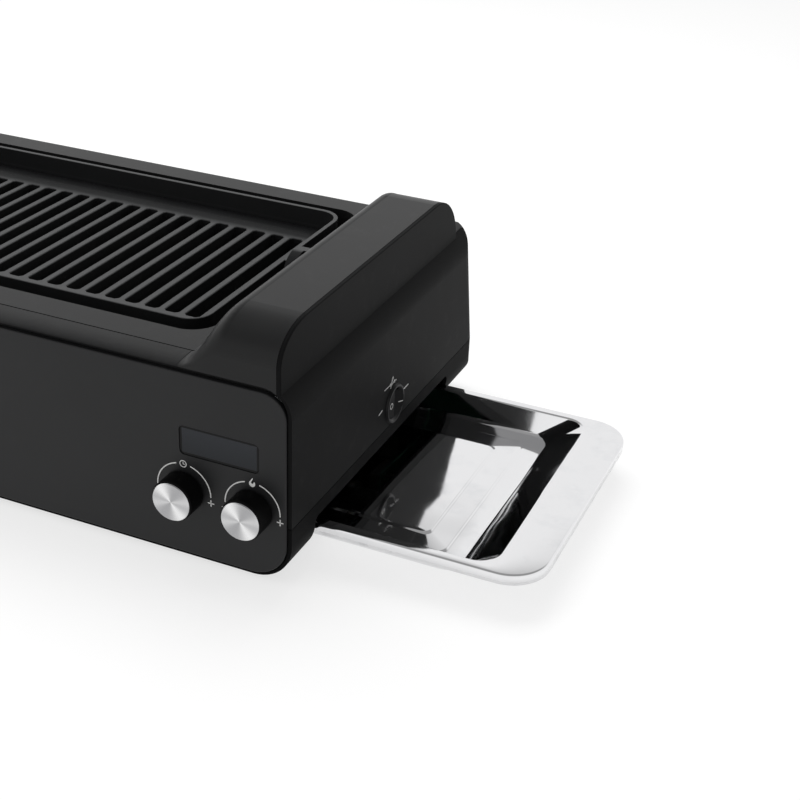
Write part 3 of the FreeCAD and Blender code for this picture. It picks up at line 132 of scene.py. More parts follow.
class Finish(Graph):
    """A material in the making, on the object's own coordinates in metres."""

    def __init__(self, name):
        self.material = bpy.data.materials.new(name)
        self.material.use_nodes = True
        super().__init__(self.material.node_tree)
        self.shader = self.tree.nodes["Principled BSDF"]
        self.place = self.node("ShaderNodeTexCoord", output="Object")

    def moved(self, centre, scale=(1.0, 1.0, 1.0)):
        """The coordinates with centre as their zero, each stretched by scale."""
        centred = self.node("ShaderNodeVectorMath", {"operation": "SUBTRACT"}, {0: self.place, 1: centre})
        return self.node("ShaderNodeVectorMath", {"operation": "MULTIPLY"}, {0: centred, 1: scale})

    def axis(self, name, place=None):
        return self.node("ShaderNodeSeparateXYZ", None, {0: place or self.place}, output=name)

    def noise(self, size, detail=2.0, roughness=0.5, place=None):
        """Cloudy noise from 0 to 1 whose lumps are about size metres across."""
        return self.node("ShaderNodeTexNoise", None, {
            "Vector": place or self.place, "Scale": 1 / size, "Detail": detail, "Roughness": roughness})

    def cells(self, size, feature="F1"):
        """Distances in a pattern of irregular cells about size metres across."""
        return self.node("ShaderNodeTexVoronoi", {"feature": feature},
                         {"Vector": self.place, "Scale": 1 / size}, output="Distance")

    def mix(self, share, first, second):
        """One colour at share 0 and the other at share 1."""
        return self.node("ShaderNodeMix", {"data_type": "RGBA"}, {0: share, 6: first, 7: second}, output=2)

    def bump(self, height, depth):
        """The normal of a surface whose relief is height times depth metres."""
        return self.node("ShaderNodeBump", None, {"Height": height, "Distance": depth, "Strength": 1.0})

    def set(self, values):
        for key, value in values.items():
            self.feed(self.shader.inputs[key], value)
        return self.material


def shade(colour, factor):
    """A colour made lighter or darker."""
    return tuple(min(c * factor, 1.0) for c in colour[:3]) + (1.0,)


def moulded(name, colour, roughness, gloss, relief=0.00002, grain=0.0006):
    """Injection-moulded plastic: spark-eroded grain, faint flow clouds and a few rubbed places."""
    cloud_size = 0.07
    rub_size = 0.012
    tone_spread = 0.14
    finish = Finish(name)
    clouds = finish.noise(cloud_size, detail=3.0)
    rubbed = finish.noise(rub_size, detail=4.0, roughness=0.65).over(0.56, 0.78)
    fine = finish.noise(grain) * 0.7 + finish.cells(grain * 1.6) * 0.3
    return finish.set({
        "Base Color": finish.mix(clouds.over(0.3, 0.7), shade(colour, 1 - tone_spread),
                                 shade(colour, 1 + tone_spread)),
        "Roughness": roughness + (clouds - 0.5) * 0.08 - rubbed * 0.05 + (fine - 0.5) * 0.06,
        "Specular IOR Level": gloss,
        "Normal": finish.bump(fine, relief),
    })


def dress(material, *names):
    """Gives the finish to pieces that keep the shape they have in the frame."""
    for name in names:
        for slot in nodes[name].material_slots:
            slot.material = material


# Painted shade: the tub's black is painted darker than the top cover's black, for the shade on the lower
# body.
tub_black_with_painted_shade = (0.0046, 0.0047, 0.0049, 1.0)
tub_plastic = moulded("tub_plastic", tub_black_with_painted_shade, 0.60, 0.03, relief=0.00003)
dress(tub_plastic, "base_shell")

# Feet
# Four round rubber feet, each pressed into a hole in the tub's floor by its plug. The rubber is dull and
# slightly dusty.
rubber = Finish("foot_rubber")
dust = rubber.noise(0.003, detail=5.0, roughness=0.7)
rubber.set({
    "Base Color": rubber.mix(dust.over(0.45, 0.75), (0.022, 0.022, 0.022, 1.0), (0.075, 0.072, 0.068, 1.0)),
    "Roughness": 0.78 + dust * 0.15,
    "Specular IOR Level": 0.3,
    "Normal": rubber.bump(rubber.noise(0.0005), 0.00004),
})
dress(rubber.material, "feet")

# Sheet metal inside the body
# Galvanised steel: the frame round the fire space that carries the grate, the heater's clips, the folded
# tray rails, and the plates of the skewer drive. The zinc shows its crystals and the drawing lines.


def galvanised(name, colour, roughness, crystal=0.006):
    """Zinc-coated sheet: angular crystals of slightly different grey, crossed by faint drawing lines."""
    line_width = 0.0006
    line_stretch = 0.03
    stain_size = 0.02
    finish = Finish(name)
    crystals = finish.node("ShaderNodeTexVoronoi", None, {"Vector": finish.place, "Scale": 1 / crystal},
                           output="Color")
    tone = finish.node("ShaderNodeRGBToBW", None, {0: crystals})
    drawn = finish.noise(line_width, place=finish.moved((0, 0, 0), (line_stretch, 1.0, 1.0)))
    stain = finish.noise(stain_size, detail=4.0).over(0.5, 0.8)
    return finish.set({
        "Base Color": finish.mix(stain * 0.5 + tone * 0.4, shade(colour, 1.1), shade(colour, 0.72)),
        "Metallic": 1.0,
        "Roughness": roughness + tone * 0.14 + drawn * 0.08,
        "Normal": finish.bump(drawn, 0.00001),
    })


zinc_grey = (0.52, 0.53, 0.54, 1.0)
sheet_steel = galvanised("sheet_steel", zinc_grey, 0.30)
dress(sheet_steel, "inner_liner", "element_clips", "tray_rail_front", "tray_rail_rear", "drive_plate",
      "bush_plate")

# Heater
# A steel-sheathed tube bent into four legs under the bars, straw and brown from its first heating, with its
# cold ends in a ceramic block. A small cut-out on the liner guards it.
sheath = Finish("heater_sheath")
tint = sheath.noise(0.018, detail=4.0, roughness=0.6)
scale_marks = sheath.noise(0.0012, detail=3.0)
sheath.set({
    "Base Color": sheath.mix(tint.over(0.35, 0.7), (0.10, 0.085, 0.07, 1.0), (0.035, 0.033, 0.036, 1.0)),
    "Metallic": 0.85,
    "Roughness": 0.42 + scale_marks * 0.22,
    "Normal": sheath.bump(scale_marks, 0.00002),
})
dress(sheath.material, "heating_element")

ceramic = Finish("ceramic")
pores = ceramic.noise(0.0007, detail=3.0)
ceramic.set({
    "Base Color": ceramic.mix(pores.over(0.4, 0.7), (0.78, 0.75, 0.68, 1.0), (0.62, 0.58, 0.5, 1.0)),
    "Roughness": 0.62 + pores * 0.2,
    "Normal": ceramic.bump(pores, 0.00003),
})
dress(ceramic.material, "terminal_block")

# Electrical parts
# Dark phenolic bodies of the inlet, the cut-out, the turning switches and the display, and the two boards
# of green laminate with their tracks under the solder mask.
phenolic = moulded("black_part", (0.018, 0.018, 0.019, 1.0), 0.45, 0.4, grain=0.0004)
dress(phenolic, "power_inlet", "thermal_cutout", "timer_encoder", "heat_encoder", "display_module")


def laminate(name, thickness_axis, low, high):
    """A circuit board: masked tracks on the sheet itself, black bodies where parts stand on it."""
    track_pitch = 0.0035
    track_share = 0.16
    finish = Finish(name)
    depth = finish.axis(thickness_axis)
    on_sheet = (depth > low) * (depth < high)
    tracks = finish.cells(track_pitch, feature="DISTANCE_TO_EDGE") < track_share
    mask_green = finish.mix(tracks, (0.006, 0.034, 0.02, 1.0), (0.015, 0.07, 0.04, 1.0))
    return finish.set({
        "Base Color": finish.mix(on_sheet, (0.02, 0.02, 0.022, 1.0), mask_green),
        "Roughness": 0.5 - on_sheet * 0.22,
        "Normal": finish.bump(tracks * on_sheet, 0.00004),
    })


board_margin = 0.0002
board_sheet = 0.0016
control_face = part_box("control_board")[1].y
dress(laminate("control_laminate", "Y", control_face - board_sheet - board_margin,
               control_face + board_margin), "control_board")
power_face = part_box("power_board")[1].x
dress(laminate("power_laminate", "X", power_face - board_sheet - board_margin,
               power_face + board_margin), "power_board")

# Skewer drive
# A small motor turns nine meshed nylon gears in a row in the right housing, and five of them carry the
# square sockets for the skewers. Plain nylon bushes in the left housing hold the skewers' other ends.


def nylon(name, colour):
    """Natural nylon, waxy and slightly mottled."""
    finish = Finish(name)
    clouds = finish.noise(0.006)
    return finish.set({
        "Base Color": finish.mix(clouds, shade(colour, 0.9), colour),
        "Roughness": 0.4 + clouds * 0.12,
        "Subsurface Weight": 0.05,
        "Subsurface Radius": (0.002, 0.0016, 0.001),
        "Normal": finish.bump(finish.noise(0.0007), 0.00001),
    })


def family(stem):
    """The names of all pieces of the frame that are numbered after this stem."""
    return sorted(name for name in nodes if name.startswith(stem + "_"))


gear_nylon = nylon("gear_nylon", (0.68, 0.66, 0.58, 1.0))
dress(gear_nylon, "motor_pinion", *family("skewer_gear"), *family("idler_gear"))
socket_nylon = moulded("socket_nylon", (0.02, 0.02, 0.021, 1.0), 0.4, 0.35)
dress(socket_nylon, *family("skewer_socket"), *family("skewer_bush"))
motor_can = galvanised("motor_can", (0.62, 0.62, 0.60, 1.0), 0.24, crystal=0.003)
dress(motor_can, "drive_motor")

# Turned steel shafts
# The two knobs' shafts are turned from bright steel, and a flat on each drives the knob. The tool has left
# fine rings round them.
turned = Finish("turned_steel")
turning = turned.noise(0.0004, place=turned.moved((0, 0, 0), (0.02, 1.0, 0.02)))
turned.set({
    "Base Color": (0.55, 0.55, 0.56, 1.0),
    "Metallic": 1.0,
    "Roughness": 0.22 + turning * 0.16,
    "Normal": turned.bump(turning, 0.000008),
})
dress(turned.material, "timer_shaft", "heat_shaft")

# Side covers and rear cover
# Black ABS mouldings: each side cover is a lower wall, a shoulder and the end cap of the raised housing, and
# the rear cover leans in towards the top and has the vent slots. All carry the tub's fine texture.
# Painted shade: the side and rear covers' black is painted darker than the top cover's, for faces turned from
# the light.
side_plastic = moulded("side_plastic", (0.0060, 0.0061, 0.0063, 1.0), 0.54, 0.04)
dress(side_plastic, "side_cover_left", "side_cover_right", "rear_cover")

# Top cover
# The large black ABS moulding with the deck, the opening for the grate and a raised housing at each end.
# It is a little glossier than the sides, and holds the light along its rounded front.
cover_plastic = moulded("cover_plastic", (0.0115, 0.0117, 0.0120, 1.0), 0.40, 0.19)
dress(cover_plastic, "top_cover")

# Front panel
# A flat black moulding with rounded corners, held off the cover by a shadow gap. White pad-printed marks
# round each knob say what it sets: arcs, a clock, a flame, plus and minus.
panel_plastic = moulded("panel_plastic", (0.0098, 0.0100, 0.0106, 1.0), 0.46, 0.26)
dress(panel_plastic, "front_panel")

ink = Finish("print_white")
speckle = ink.noise(0.0003)
ink.set({
    "Base Color": ink.mix(speckle.over(0.45, 0.75), (0.80, 0.80, 0.79, 1.0), (0.62, 0.62, 0.61, 1.0)),
    "Roughness": 0.5 + speckle * 0.15,
})


def in_scene(name, data):
    """A new object of the scene that holds this mesh, lamp or camera."""
    made = bpy.data.objects.new(name, data)
    bpy.context.scene.collection.objects.link(made)
    return made


def piece_from(name, mesh):
    """The piece whose shape has been drawn in this mesh."""
    data = bpy.data.meshes.new(name)
    mesh.to_mesh(data)
    mesh.free()
    return in_scene(name, data)


millimetre = 0.001


class Print:
    """Flat marks drawn in millimetres in a print's own plane, x to the right and y up."""

    def __init__(self, name):
        self.name = name
        self.mesh = bmesh.new()

    def polygon(self, points):
        self.mesh.faces.new([self.mesh.verts.new((x, y, 0.0)) for x, y in points])

    def band(self, points, width, closed=False):
        """A stroke of even width with round ends along the points."""
        count = len(points)
        left, right = [], []
        for i, (x, y) in enumerate(points):
            before = points[i - 1] if i or closed else points[0]
            after = points[(i + 1) % count] if i < count - 1 or closed else points[-1]
            dx, dy = after[0] - before[0], after[1] - before[1]
            reach = math.hypot(dx, dy)
            nx, ny = -dy / reach * width / 2, dx / reach * width / 2
            left.append(self.mesh.verts.new((x + nx, y + ny, 0.0)))
            right.append(self.mesh.verts.new((x - nx, y - ny, 0.0)))
        for i in range(count if closed else count - 1):
            j = (i + 1) % count
            self.mesh.faces.new([left[i], right[i], right[j], left[j]])
        if not closed:
            self.round_end(points[0], left[0], right[0])
            self.round_end(points[-1], right[-1], left[-1])

    def round_end(self, centre, first, last, steps=5):
        start = math.atan2(first.co.y - centre[1], first.co.x - centre[0])
        radius = math.hypot(first.co.x - centre[0], first.co.y - centre[1])
        between = [self.mesh.verts.new((centre[0] + radius * math.cos(start + math.pi * k / steps),
                                        centre[1] + radius * math.sin(start + math.pi * k / steps), 0.0))
                   for k in range(1, steps)]
        self.mesh.faces.new([first, *between, last])

    def lay(self, origin, right, up, thickness=0.05):
        """Thickens the marks, puts them in the frame with their top outwards, and returns the piece."""
        grown = bmesh.ops.extrude_face_region(self.mesh, geom=self.mesh.faces[:])
        for item in grown["geom"]:
            if isinstance(item, bmesh.types.BMVert):
                item.co.z += thickness
        bmesh.ops.recalc_face_normals(self.mesh, faces=self.mesh.faces[:])
        out = Vector(right).cross(Vector(up))
        turn = Matrix((right, up, out)).transposed().to_4x4()
        self.mesh.transform(Matrix.Translation(origin) @ turn @ Matrix.Scale(millimetre, 4))
        piece = piece_from(self.name, self.mesh)
        piece.data.materials.append(ink.material)
        return piece


def arc(radius, start, finish, steps, centre=(0.0, 0.0)):
    """Points on an arc. Angles are in degrees clockwise from straight up."""
    angles = [math.radians(start + (finish - start) * i / steps) for i in range(steps + 1)]
    return [(centre[0] + radius * math.sin(a), centre[1] + radius * math.cos(a)) for a in angles]


def smooth_outline(points, steps=6):
    """A closed outline through the points, rounded as a Catmull-Rom curve."""
    outline = []
    count = len(points)
    for i in range(count):
        a, b, c, d = (Vector(points[(i + k - 1) % count]) for k in range(4))
        for s in range(steps):
            t = s / steps
            p = 0.5 * (2 * b + (c - a) * t + (2 * a - 5 * b + 4 * c - d) * t ** 2
                       + (3 * b - a - 3 * c + d) * t ** 3)
            outline.append((p.x, p.y))
    return outline


arc_radius = 18.24
arc_start = 16.0
arc_end = 90.0
arc_width = 0.75
arc_steps = 28
sign_drop = 4.2
sign_reach = 1.9
sign_width = 0.8
clock_radius = 2.15
clock_line = 0.5
clock_steps = 40
long_hand = 1.25
short_hand = 1.0
short_hand_start = -0.02
short_hand_end = -0.3
flame_height = 3.0
flame_outline = [(0.10, 1.05), (-0.28, 0.50), (-0.62, 0.0), (-0.62, -0.52), (-0.28, -0.92), (0.22, -0.95),
                 (0.62, -0.60), (0.66, -0.10), (0.46, 0.22), (0.28, -0.10), (0.02, -0.30), (-0.18, -0.08),
                 (-0.10, 0.32), (0.12, 0.66)]
panel_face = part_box("front_panel")[0].y
print_stand = 0.00002


def knob_marks(name, knob, draw_symbol):
    """The ring of marks round one knob."""
    marks = Print(name)
    for side in (-1, 1):
        marks.band(arc(arc_radius, side * arc_start, side * arc_end, arc_steps), arc_width)
    x, y = arc_radius, -sign_drop
    marks.band([(x - sign_reach, y), (x + sign_reach, y)], sign_width)
    marks.band([(x, y - sign_reach), (x, y - sign_width / 2)], sign_width)
    marks.band([(x, y + sign_width / 2), (x, y + sign_reach)], sign_width)
    marks.band([(-x - sign_reach, y), (-x + sign_reach, y)], sign_width)
    draw_symbol(marks, (0.0, arc_radius))
    low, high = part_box(knob)
    axis = (low + high) / 2
    piece = marks.lay((axis.x, panel_face - print_stand, axis.z), (1, 0, 0), (0, 0, 1))
    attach(piece, "root")


def clock(marks, centre):
    x, y = centre
    marks.band(arc(clock_radius, 0.0, 360.0, clock_steps, centre)[:-1], clock_line, closed=True)
    marks.band([(x, y + long_hand), centre], clock_line)
    marks.band([(x + clock_line / 2, y + short_hand_start), (x + short_hand, y + short_hand_end)], clock_line)


def flame(marks, centre):
    marks.polygon([(centre[0] + x * flame_height, centre[1] + y * flame_height)
                   for x, y in smooth_outline(flame_outline)])


knob_marks("timer_marks", "timer_knob", clock)
knob_marks("heat_marks", "heat_knob", flame)

# Display window
# A dark tinted acrylic plate in the panel's recess. It is printed black round its edge on the back, and
# inside that border it is painted a little lighter towards the top, as painted light.
window_low, window_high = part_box("display_window")
window_middle = (window_low + window_high) / 2
window_half = (window_high - window_low) / 2
border = 0.0014
smoke = Finish("window_acrylic")
from_middle = smoke.moved(tuple(window_middle))
across = abs(smoke.axis("X", from_middle))
along = abs(smoke.axis("Z", from_middle))
inside = (across < window_half.x - border) * (along < window_half.z - border)
haze = smoke.noise(0.03, detail=3.0)
# Painted light: the glass inside the border is painted lighter towards its top, mixed with random haze.
painted_light_and_haze = smoke.axis("Z").over(window_low.z, window_high.z) * 0.7 + haze * 0.3
smoke.set({
    "Base Color": smoke.mix(inside, (0.0022, 0.0022, 0.0024, 1.0),
                            smoke.mix(painted_light_and_haze, (0.017, 0.019, 0.022, 1.0), (0.033, 0.036, 0.042, 1.0))),
    "Roughness": 0.16 + haze * 0.06,
    "Specular IOR Level": 0.14,
    "Normal": smoke.bump(haze, 0.00005),
})
dress(smoke.material, "display_window")

# Knobs
# Black moulded knobs with spun aluminium caps. The caps are turned on a lathe, which leaves fine rings, and
# their edge is cut bright. Two opposite fans of light on each cap are painted highlights in its colour.
knob_plastic = moulded("knob_plastic", (0.0028, 0.0028, 0.0030, 1.0), 0.5, 0.05)
dress(knob_plastic, "timer_knob", "heat_knob")
cap_dish = 0.00022
cap_bevel = 0.0005
cap_segments = 128
cap_crease = 22
groove_pitch = 0.00032
groove_rise = 0.000011
groove_fade = 40
ring_scale = 2500.0
painted_fan_angle = math.radians(128)
painted_fan_sharpness = 7
painted_fan_share = 0.72
second_painted_fan_turn = 1.15
second_painted_fan_sharpness = 16
second_painted_fan_share = 0.34
ring_share = 0.18


def soften(piece, crease):
    """Smooth shading over every edge but those that turn by more than crease degrees."""
    piece.data.shade_smooth()
    piece.data.set_sharp_from_angle(angle=math.radians(crease))


def lathe(name, profile, centre, segments):
    """A body of revolution about the line along y through centre. The profile runs from the front's middle
    to the back's middle as (radius, y) pairs."""
    mesh = bmesh.new()
    rings = []
    for radius, y in profile:
        if radius == 0.0:
            rings.append([mesh.verts.new((centre.x, y, centre.z))])
            continue
        rings.append([mesh.verts.new((centre.x + radius * math.cos(2 * math.pi * k / segments), y,
                                      centre.z + radius * math.sin(2 * math.pi * k / segments)))
                      for k in range(segments)])
    for first, second in zip(rings, rings[1:]):
        for k in range(segments):
            n = (k + 1) % segments
            corners = [first[k % len(first)], first[n % len(first)], second[n % len(second)],
                       second[k % len(second)]]
            mesh.faces.new(list(dict.fromkeys(corners)))
    bmesh.ops.recalc_face_normals(mesh, faces=mesh.faces[:])
    return piece_from(name, mesh)


def spun(name, centre):
    """Spun aluminium with two opposite fans of painted highlight and a pattern of rings in its colour."""
    finish = Finish(name)
    place = finish.moved((centre.x, 0.0, centre.z), (1.0, 0.0, 1.0))
    radius = finish.node("ShaderNodeVectorMath", {"operation": "LENGTH"}, {0: place}, output="Value")
    broad = finish.node("ShaderNodeTexNoise", {"noise_dimensions": "1D"},
                        {"W": radius, "Scale": ring_scale, "Detail": 2.0})
    angle = finish.maths("ARCTAN2", finish.axis("Z", place), finish.axis("X", place))
    # Painted highlight: two opposite fans round the cap's axis are painted lighter into its colour, plus ring
    # tone.
    painted_fan = abs(finish.maths("COSINE", angle - painted_fan_angle)) ** painted_fan_sharpness
    second = abs(finish.maths("COSINE", angle - painted_fan_angle - second_painted_fan_turn)) ** second_painted_fan_sharpness
    painted_fans_and_rings = painted_fan * painted_fan_share + second * second_painted_fan_share + broad * ring_share
    return finish.set({
        "Base Color": finish.mix(painted_fans_and_rings, (0.33, 0.33, 0.34, 1.0), (0.96, 0.96, 0.96, 1.0)),
        "Metallic": 1.0,
        "Roughness": 0.20 + broad * 0.08,
    })


for knob, body in (("timer_knob", "timer"), ("heat_knob", "heat")):
    cap_low, cap_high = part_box(knob + "_cap")
    cap_centre = (cap_low + cap_high) / 2
    cap_radius = (cap_high.x - cap_low.x) / 2
    face_radius = cap_radius - cap_bevel
    quarters = 4 * int(face_radius / groove_pitch)
    dish = []
    for i in range(quarters + 1):
        share = i / quarters
        groove = groove_rise * math.sin(math.pi * i / 2) * min(1.0, (1 - share) * groove_fade)
        dish.append((face_radius * share, cap_low.y + cap_dish * (1 - share ** 2) + groove))
    edge = [(cap_radius, cap_low.y + cap_bevel), (cap_radius, cap_high.y), (0.0, cap_high.y)]
    cap = lathe(knob + "_cap_spun", dish + edge, cap_centre, cap_segments)
    soften(cap, cap_crease)
    cap.data.materials.append(spun(knob + "_aluminium", cap_centre))
    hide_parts(knob + "_cap")
    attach(cap, body)

# Rocker switch
# A black rocker in a round bezel low on the right side. White marks beside it show its two positions, and
# crossed skewers above it say what it turns on.
switch_plastic = moulded("switch_plastic", (0.0045, 0.0045, 0.0048, 1.0), 0.42, 0.06)
dress(switch_plastic, "rocker")
bezel_plastic = moulded("bezel_plastic", (0.0075, 0.0076, 0.0079, 1.0), 0.34, 0.14)
dress(bezel_plastic, "rocker_bezel")
bezel_stand = 0.0015
position_line = 0.8
long_line = [(14.2, 3.5), (22.9, 3.6)]
short_line = [(-24.6, 2.9), (-19.6, 4.0)]
fine_line = 0.55
skewer_lines = [[(-16.7, 17.2), (1.6, 17.0)], [(-6.8, 14.3), (-3.4, 21.6)]]
chunk = 1.05
chunk_places = (0.5, 0.68, 0.86)
chunk_outline = [(1, 0.2), (0.5, 1), (-0.5, 1), (-1, 0.2), (-1, -0.5), (0, -1), (1, -0.5)]
circle_radius = 1.9
circle_centre = (-4.8, 0.0)
dash = [(3.8, -0.3), (8.0, -1.1)]
rocker_ink = 0.04
bezel_low, bezel_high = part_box("rocker_bezel")
rocker_middle = (bezel_low + bezel_high) / 2
print_origin = (bezel_high.x - bezel_stand, rocker_middle.y, rocker_middle.z)
side_marks = Print("switch_marks")
side_marks.band(long_line, position_line)
side_marks.band(short_line, position_line)
for foot, tip in skewer_lines:
    skewer = Vector(tip) - Vector(foot)
    side_marks.band([foot, tip], fine_line)
    for share in chunk_places:
        middle = Vector(foot) + skewer * share
        side_marks.polygon([(middle.x + x * chunk, middle.y + y * chunk) for x, y in chunk_outline])
switch_marks = Print("rocker_marks")
switch_marks.band(arc(circle_radius, 0.0, 360.0, arc_steps, circle_centre)[:-1], fine_line, closed=True)
switch_marks.band(dash, fine_line)


def press_on(piece, node):
    """Lays a print that faces +x on the curved or tipped face of a piece of the frame behind it."""
    mesh = nodes[node].data
    skin = BVHTree.FromPolygons([v.co for v in mesh.vertices], [p.vertices for p in mesh.polygons])
    lowest = min(v.co.x for v in piece.data.vertices)
    for vertex in piece.data.vertices:
        start = Vector((cad_high.x, vertex.co.y, vertex.co.z))
        vertex.co.x = skin.ray_cast(start, Vector((-1, 0, 0)))[0].x + vertex.co.x - lowest + print_stand


switch_piece = switch_marks.lay(print_origin, (0, 1, 0), (0, 0, 1), rocker_ink)
press_on(switch_piece, "rocker")
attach(switch_piece, "rocker")
side_piece = side_marks.lay(print_origin, (0, 1, 0), (0, 0, 1))
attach(side_piece, "root")

# Grate
# One aluminium casting with a dark non-stick coat: bars from front to back, a low rim in front, a high
# splash wall round the back and a finger lug at each end. The coat is satin on the bars, rougher between.
# The tops of the bars and of the splash wall are painted lighter as a painted highlight, and painted shade
# darkens it from the bars' ends back to the wall's foot.
grate_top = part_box("grate")[1].z
bar_top = 0.127
bar_margin = 0.0004
light_from = 0.0001
bar_light_depth = 0.0007
wall_light_depth = 0.0005
bars_end = 0.0735
wall_foot = 0.0815
shade_behind = 0.93
coat = Finish("cast_coat")
sand = coat.noise(0.0009, detail=4.0, roughness=0.6)
fleck = coat.cells(0.0011).over(0.55, 0.2)
patch = coat.noise(0.03, detail=3.0)
height = coat.axis("Z")
# Painted shade: a ramp from the bars' ends to the wall's foot that darkens the painted highlight on the bar
# tops.
painted_shade_behind_bars = coat.axis("Y").over(bars_end, wall_foot)
# Painted highlight: the bar tops and the splash wall's top get a lighter grey than the rest of the coat.
bar_tops_painted_light = height.over(bar_top - bar_light_depth, bar_top - light_from) * (height < bar_top + bar_margin)
wall_top_painted_light = height.over(grate_top - wall_light_depth, grate_top - light_from)
painted_light_and_shade = bar_tops_painted_light * (1 - painted_shade_behind_bars * shade_behind) + wall_top_painted_light
glint = coat.cells(0.0021).over(0.34, 0.12) * coat.noise(0.006).over(0.5, 0.62) * (1 - painted_light_and_shade)
dark_coat = coat.mix(patch, (0.0065, 0.0067, 0.0070, 1.0), (0.0115, 0.0118, 0.0122, 1.0))
coat.set({
    "Base Color": coat.mix(painted_light_and_shade, dark_coat, (0.062, 0.063, 0.064, 1.0)),
    "Roughness": 0.52 + sand * 0.12 - painted_light_and_shade * 0.10 - glint * 0.22,
    "Specular IOR Level": 0.16,
    "Normal": coat.bump(sand * 0.7 + fleck * 0.3 + glint * 0.8, 0.00006),
})
dress(coat.material, "grate")

# Tray
# A water and fat tray pressed from polished stainless sheet. Its right end has a wide flange to pull, the
# edge is turned down, the walls slope, and the floor rises in two shallow steps.
tray_low, tray_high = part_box("tray")
tray_sheet = 0.001
skirt = 0.007
side_flange = 0.007
end_flange = 0.029
wall_slope = 0.005
end_slope = 0.025
tray_depth = 0.017
rim_radius = 0.026
basin_radius = 0.015
least_radius = 0.005
edge_bend = 0.0016
edge_turn = 80
top_bend = 0.0016
floor_bend = 0.0035
floor_bend_reach = 0.8
step_rise = 0.0008
step_run = 0.0022
step_insets = (0.014, 0.030)
corner_steps = 14
bend_steps = 6
floor_bend_steps = 8
rise_steps = 6
weld = 0.000001
tray_crease = 35


def tray_ring(mesh, side, end, radius, z):
    """One closed line round the tray: side is its inset on three sides, end its inset at the pull end."""
    x0, x1 = tray_low.x + side, tray_high.x - end
    y0, y1 = tray_low.y + side, tray_high.y - side
    ring = []
    for cx, cy, start in ((x1 - radius, y1 - radius, 0), (x0 + radius, y1 - radius, 90),
                          (x0 + radius, y0 + radius, 180), (x1 - radius, y0 + radius, 270)):
        for k in range(corner_steps + 1):
            a = math.radians(start + 90 * k / corner_steps)
            ring.append(mesh.verts.new((cx + radius * math.cos(a), cy + radius * math.sin(a), z)))
    return ring


def bend(radius, steps, turn):
    """Offsets (out, down) along a rounded bend that turns by so many degrees from the flange's direction."""
    angles = [math.radians(turn * k / steps) for k in range(steps + 1)]
    return [(radius * math.sin(a), radius * (1 - math.cos(a))) for a in angles]


def slid(radius, angle, drop):
    """How far along the pull end's gentler wall has run, after its bend, at this drop below the flange."""
    rounded = radius * (1 - math.cos(angle))
    if drop <= rounded:
        return math.sqrt(radius ** 2 - (radius - drop) ** 2)
    return radius * math.sin(angle) + (drop - rounded) / math.tan(angle)


top = tray_high.z
end_angle = math.atan2(tray_depth, end_slope)
end_tangent = math.tan(end_angle / 2)
slope_angle = math.degrees(math.atan2(tray_depth, wall_slope))
stations = [(0.0, 0.0, rim_radius, top - skirt), (0.0, 0.0, rim_radius, top - edge_bend)]
for out, down in reversed(bend(edge_bend, bend_steps, edge_turn)):
    inset = edge_bend - out
    stations.append((inset, inset, rim_radius - inset, top - down))
for out, down in bend(top_bend, bend_steps, slope_angle):
    end_inset = end_flange - top_bend * end_tangent + slid(top_bend, end_angle, down)
    stations.append((side_flange - top_bend / 2 + out, end_inset, basin_radius, top - down))
lip = side_flange + wall_slope
end_lip = end_flange + end_slope
low_radius = basin_radius - wall_slope / 2
floor_z = top - tray_depth
for out, down in reversed(bend(floor_bend, floor_bend_steps, slope_angle)):
    reach = floor_bend * floor_bend_reach - out
    end_reach = floor_bend * end_tangent - slid(floor_bend, end_angle, down)
    stations.append((lip + reach, end_lip + end_reach, low_radius - reach / 2, floor_z + down))
for i, inset in enumerate(step_insets):
    for k in range(rise_steps + 1):
        t = k / rise_steps
        rise = step_rise * (3 * t ** 2 - 2 * t ** 3)
        reach = inset + step_run * (t - 0.5)
        corner = max(low_radius - inset / 3, least_radius)
        stations.append((lip + reach, end_lip + reach, corner, floor_z + i * step_rise + rise))
tray_mesh = bmesh.new()
rings = [tray_ring(tray_mesh, *station) for station in stations]
for first, second in zip(rings, rings[1:]):
    for k in range(len(first)):
        n = (k + 1) % len(first)
        tray_mesh.faces.new([first[k], first[n], second[n], second[k]])
tray_mesh.faces.new(rings[-1])
bmesh.ops.remove_doubles(tray_mesh, verts=tray_mesh.verts[:], dist=weld)
bmesh.ops.recalc_face_normals(tray_mesh, faces=tray_mesh.faces[:])
if max(tray_mesh.faces, key=lambda f: f.calc_area()).normal.z < 0:
    bmesh.ops.reverse_faces(tray_mesh, faces=tray_mesh.faces[:])
tray_piece = piece_from("tray_polished", tray_mesh)
soften(tray_piece, tray_crease)
thickness = tray_piece.modifiers.new("sheet", "SOLIDIFY")
thickness.thickness = tray_sheet
thickness.offset = -1.0
thickness.use_even_offset = True

polish = Finish("polished_stainless")
ripple = polish.noise(0.045, detail=1.0)
buff = polish.noise(0.0006, place=polish.moved((0, 0, 0), (0.05, 1.0, 1.0)))
smear = polish.noise(0.02, detail=4.0, roughness=0.6).over(0.5, 0.8)
polish.set({
    "Base Color": polish.mix(smear, (0.80, 0.80, 0.81, 1.0), (0.74, 0.745, 0.76, 1.0)),
    "Metallic": 1.0,
    "Roughness": 0.045 + smear * 0.05 + buff * 0.03,
    "Normal": polish.bump(ripple + buff * 0.004, 0.0004),
})
tray_piece.data.materials.append(polish.material)
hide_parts("tray")
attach(tray_piece, "tray")

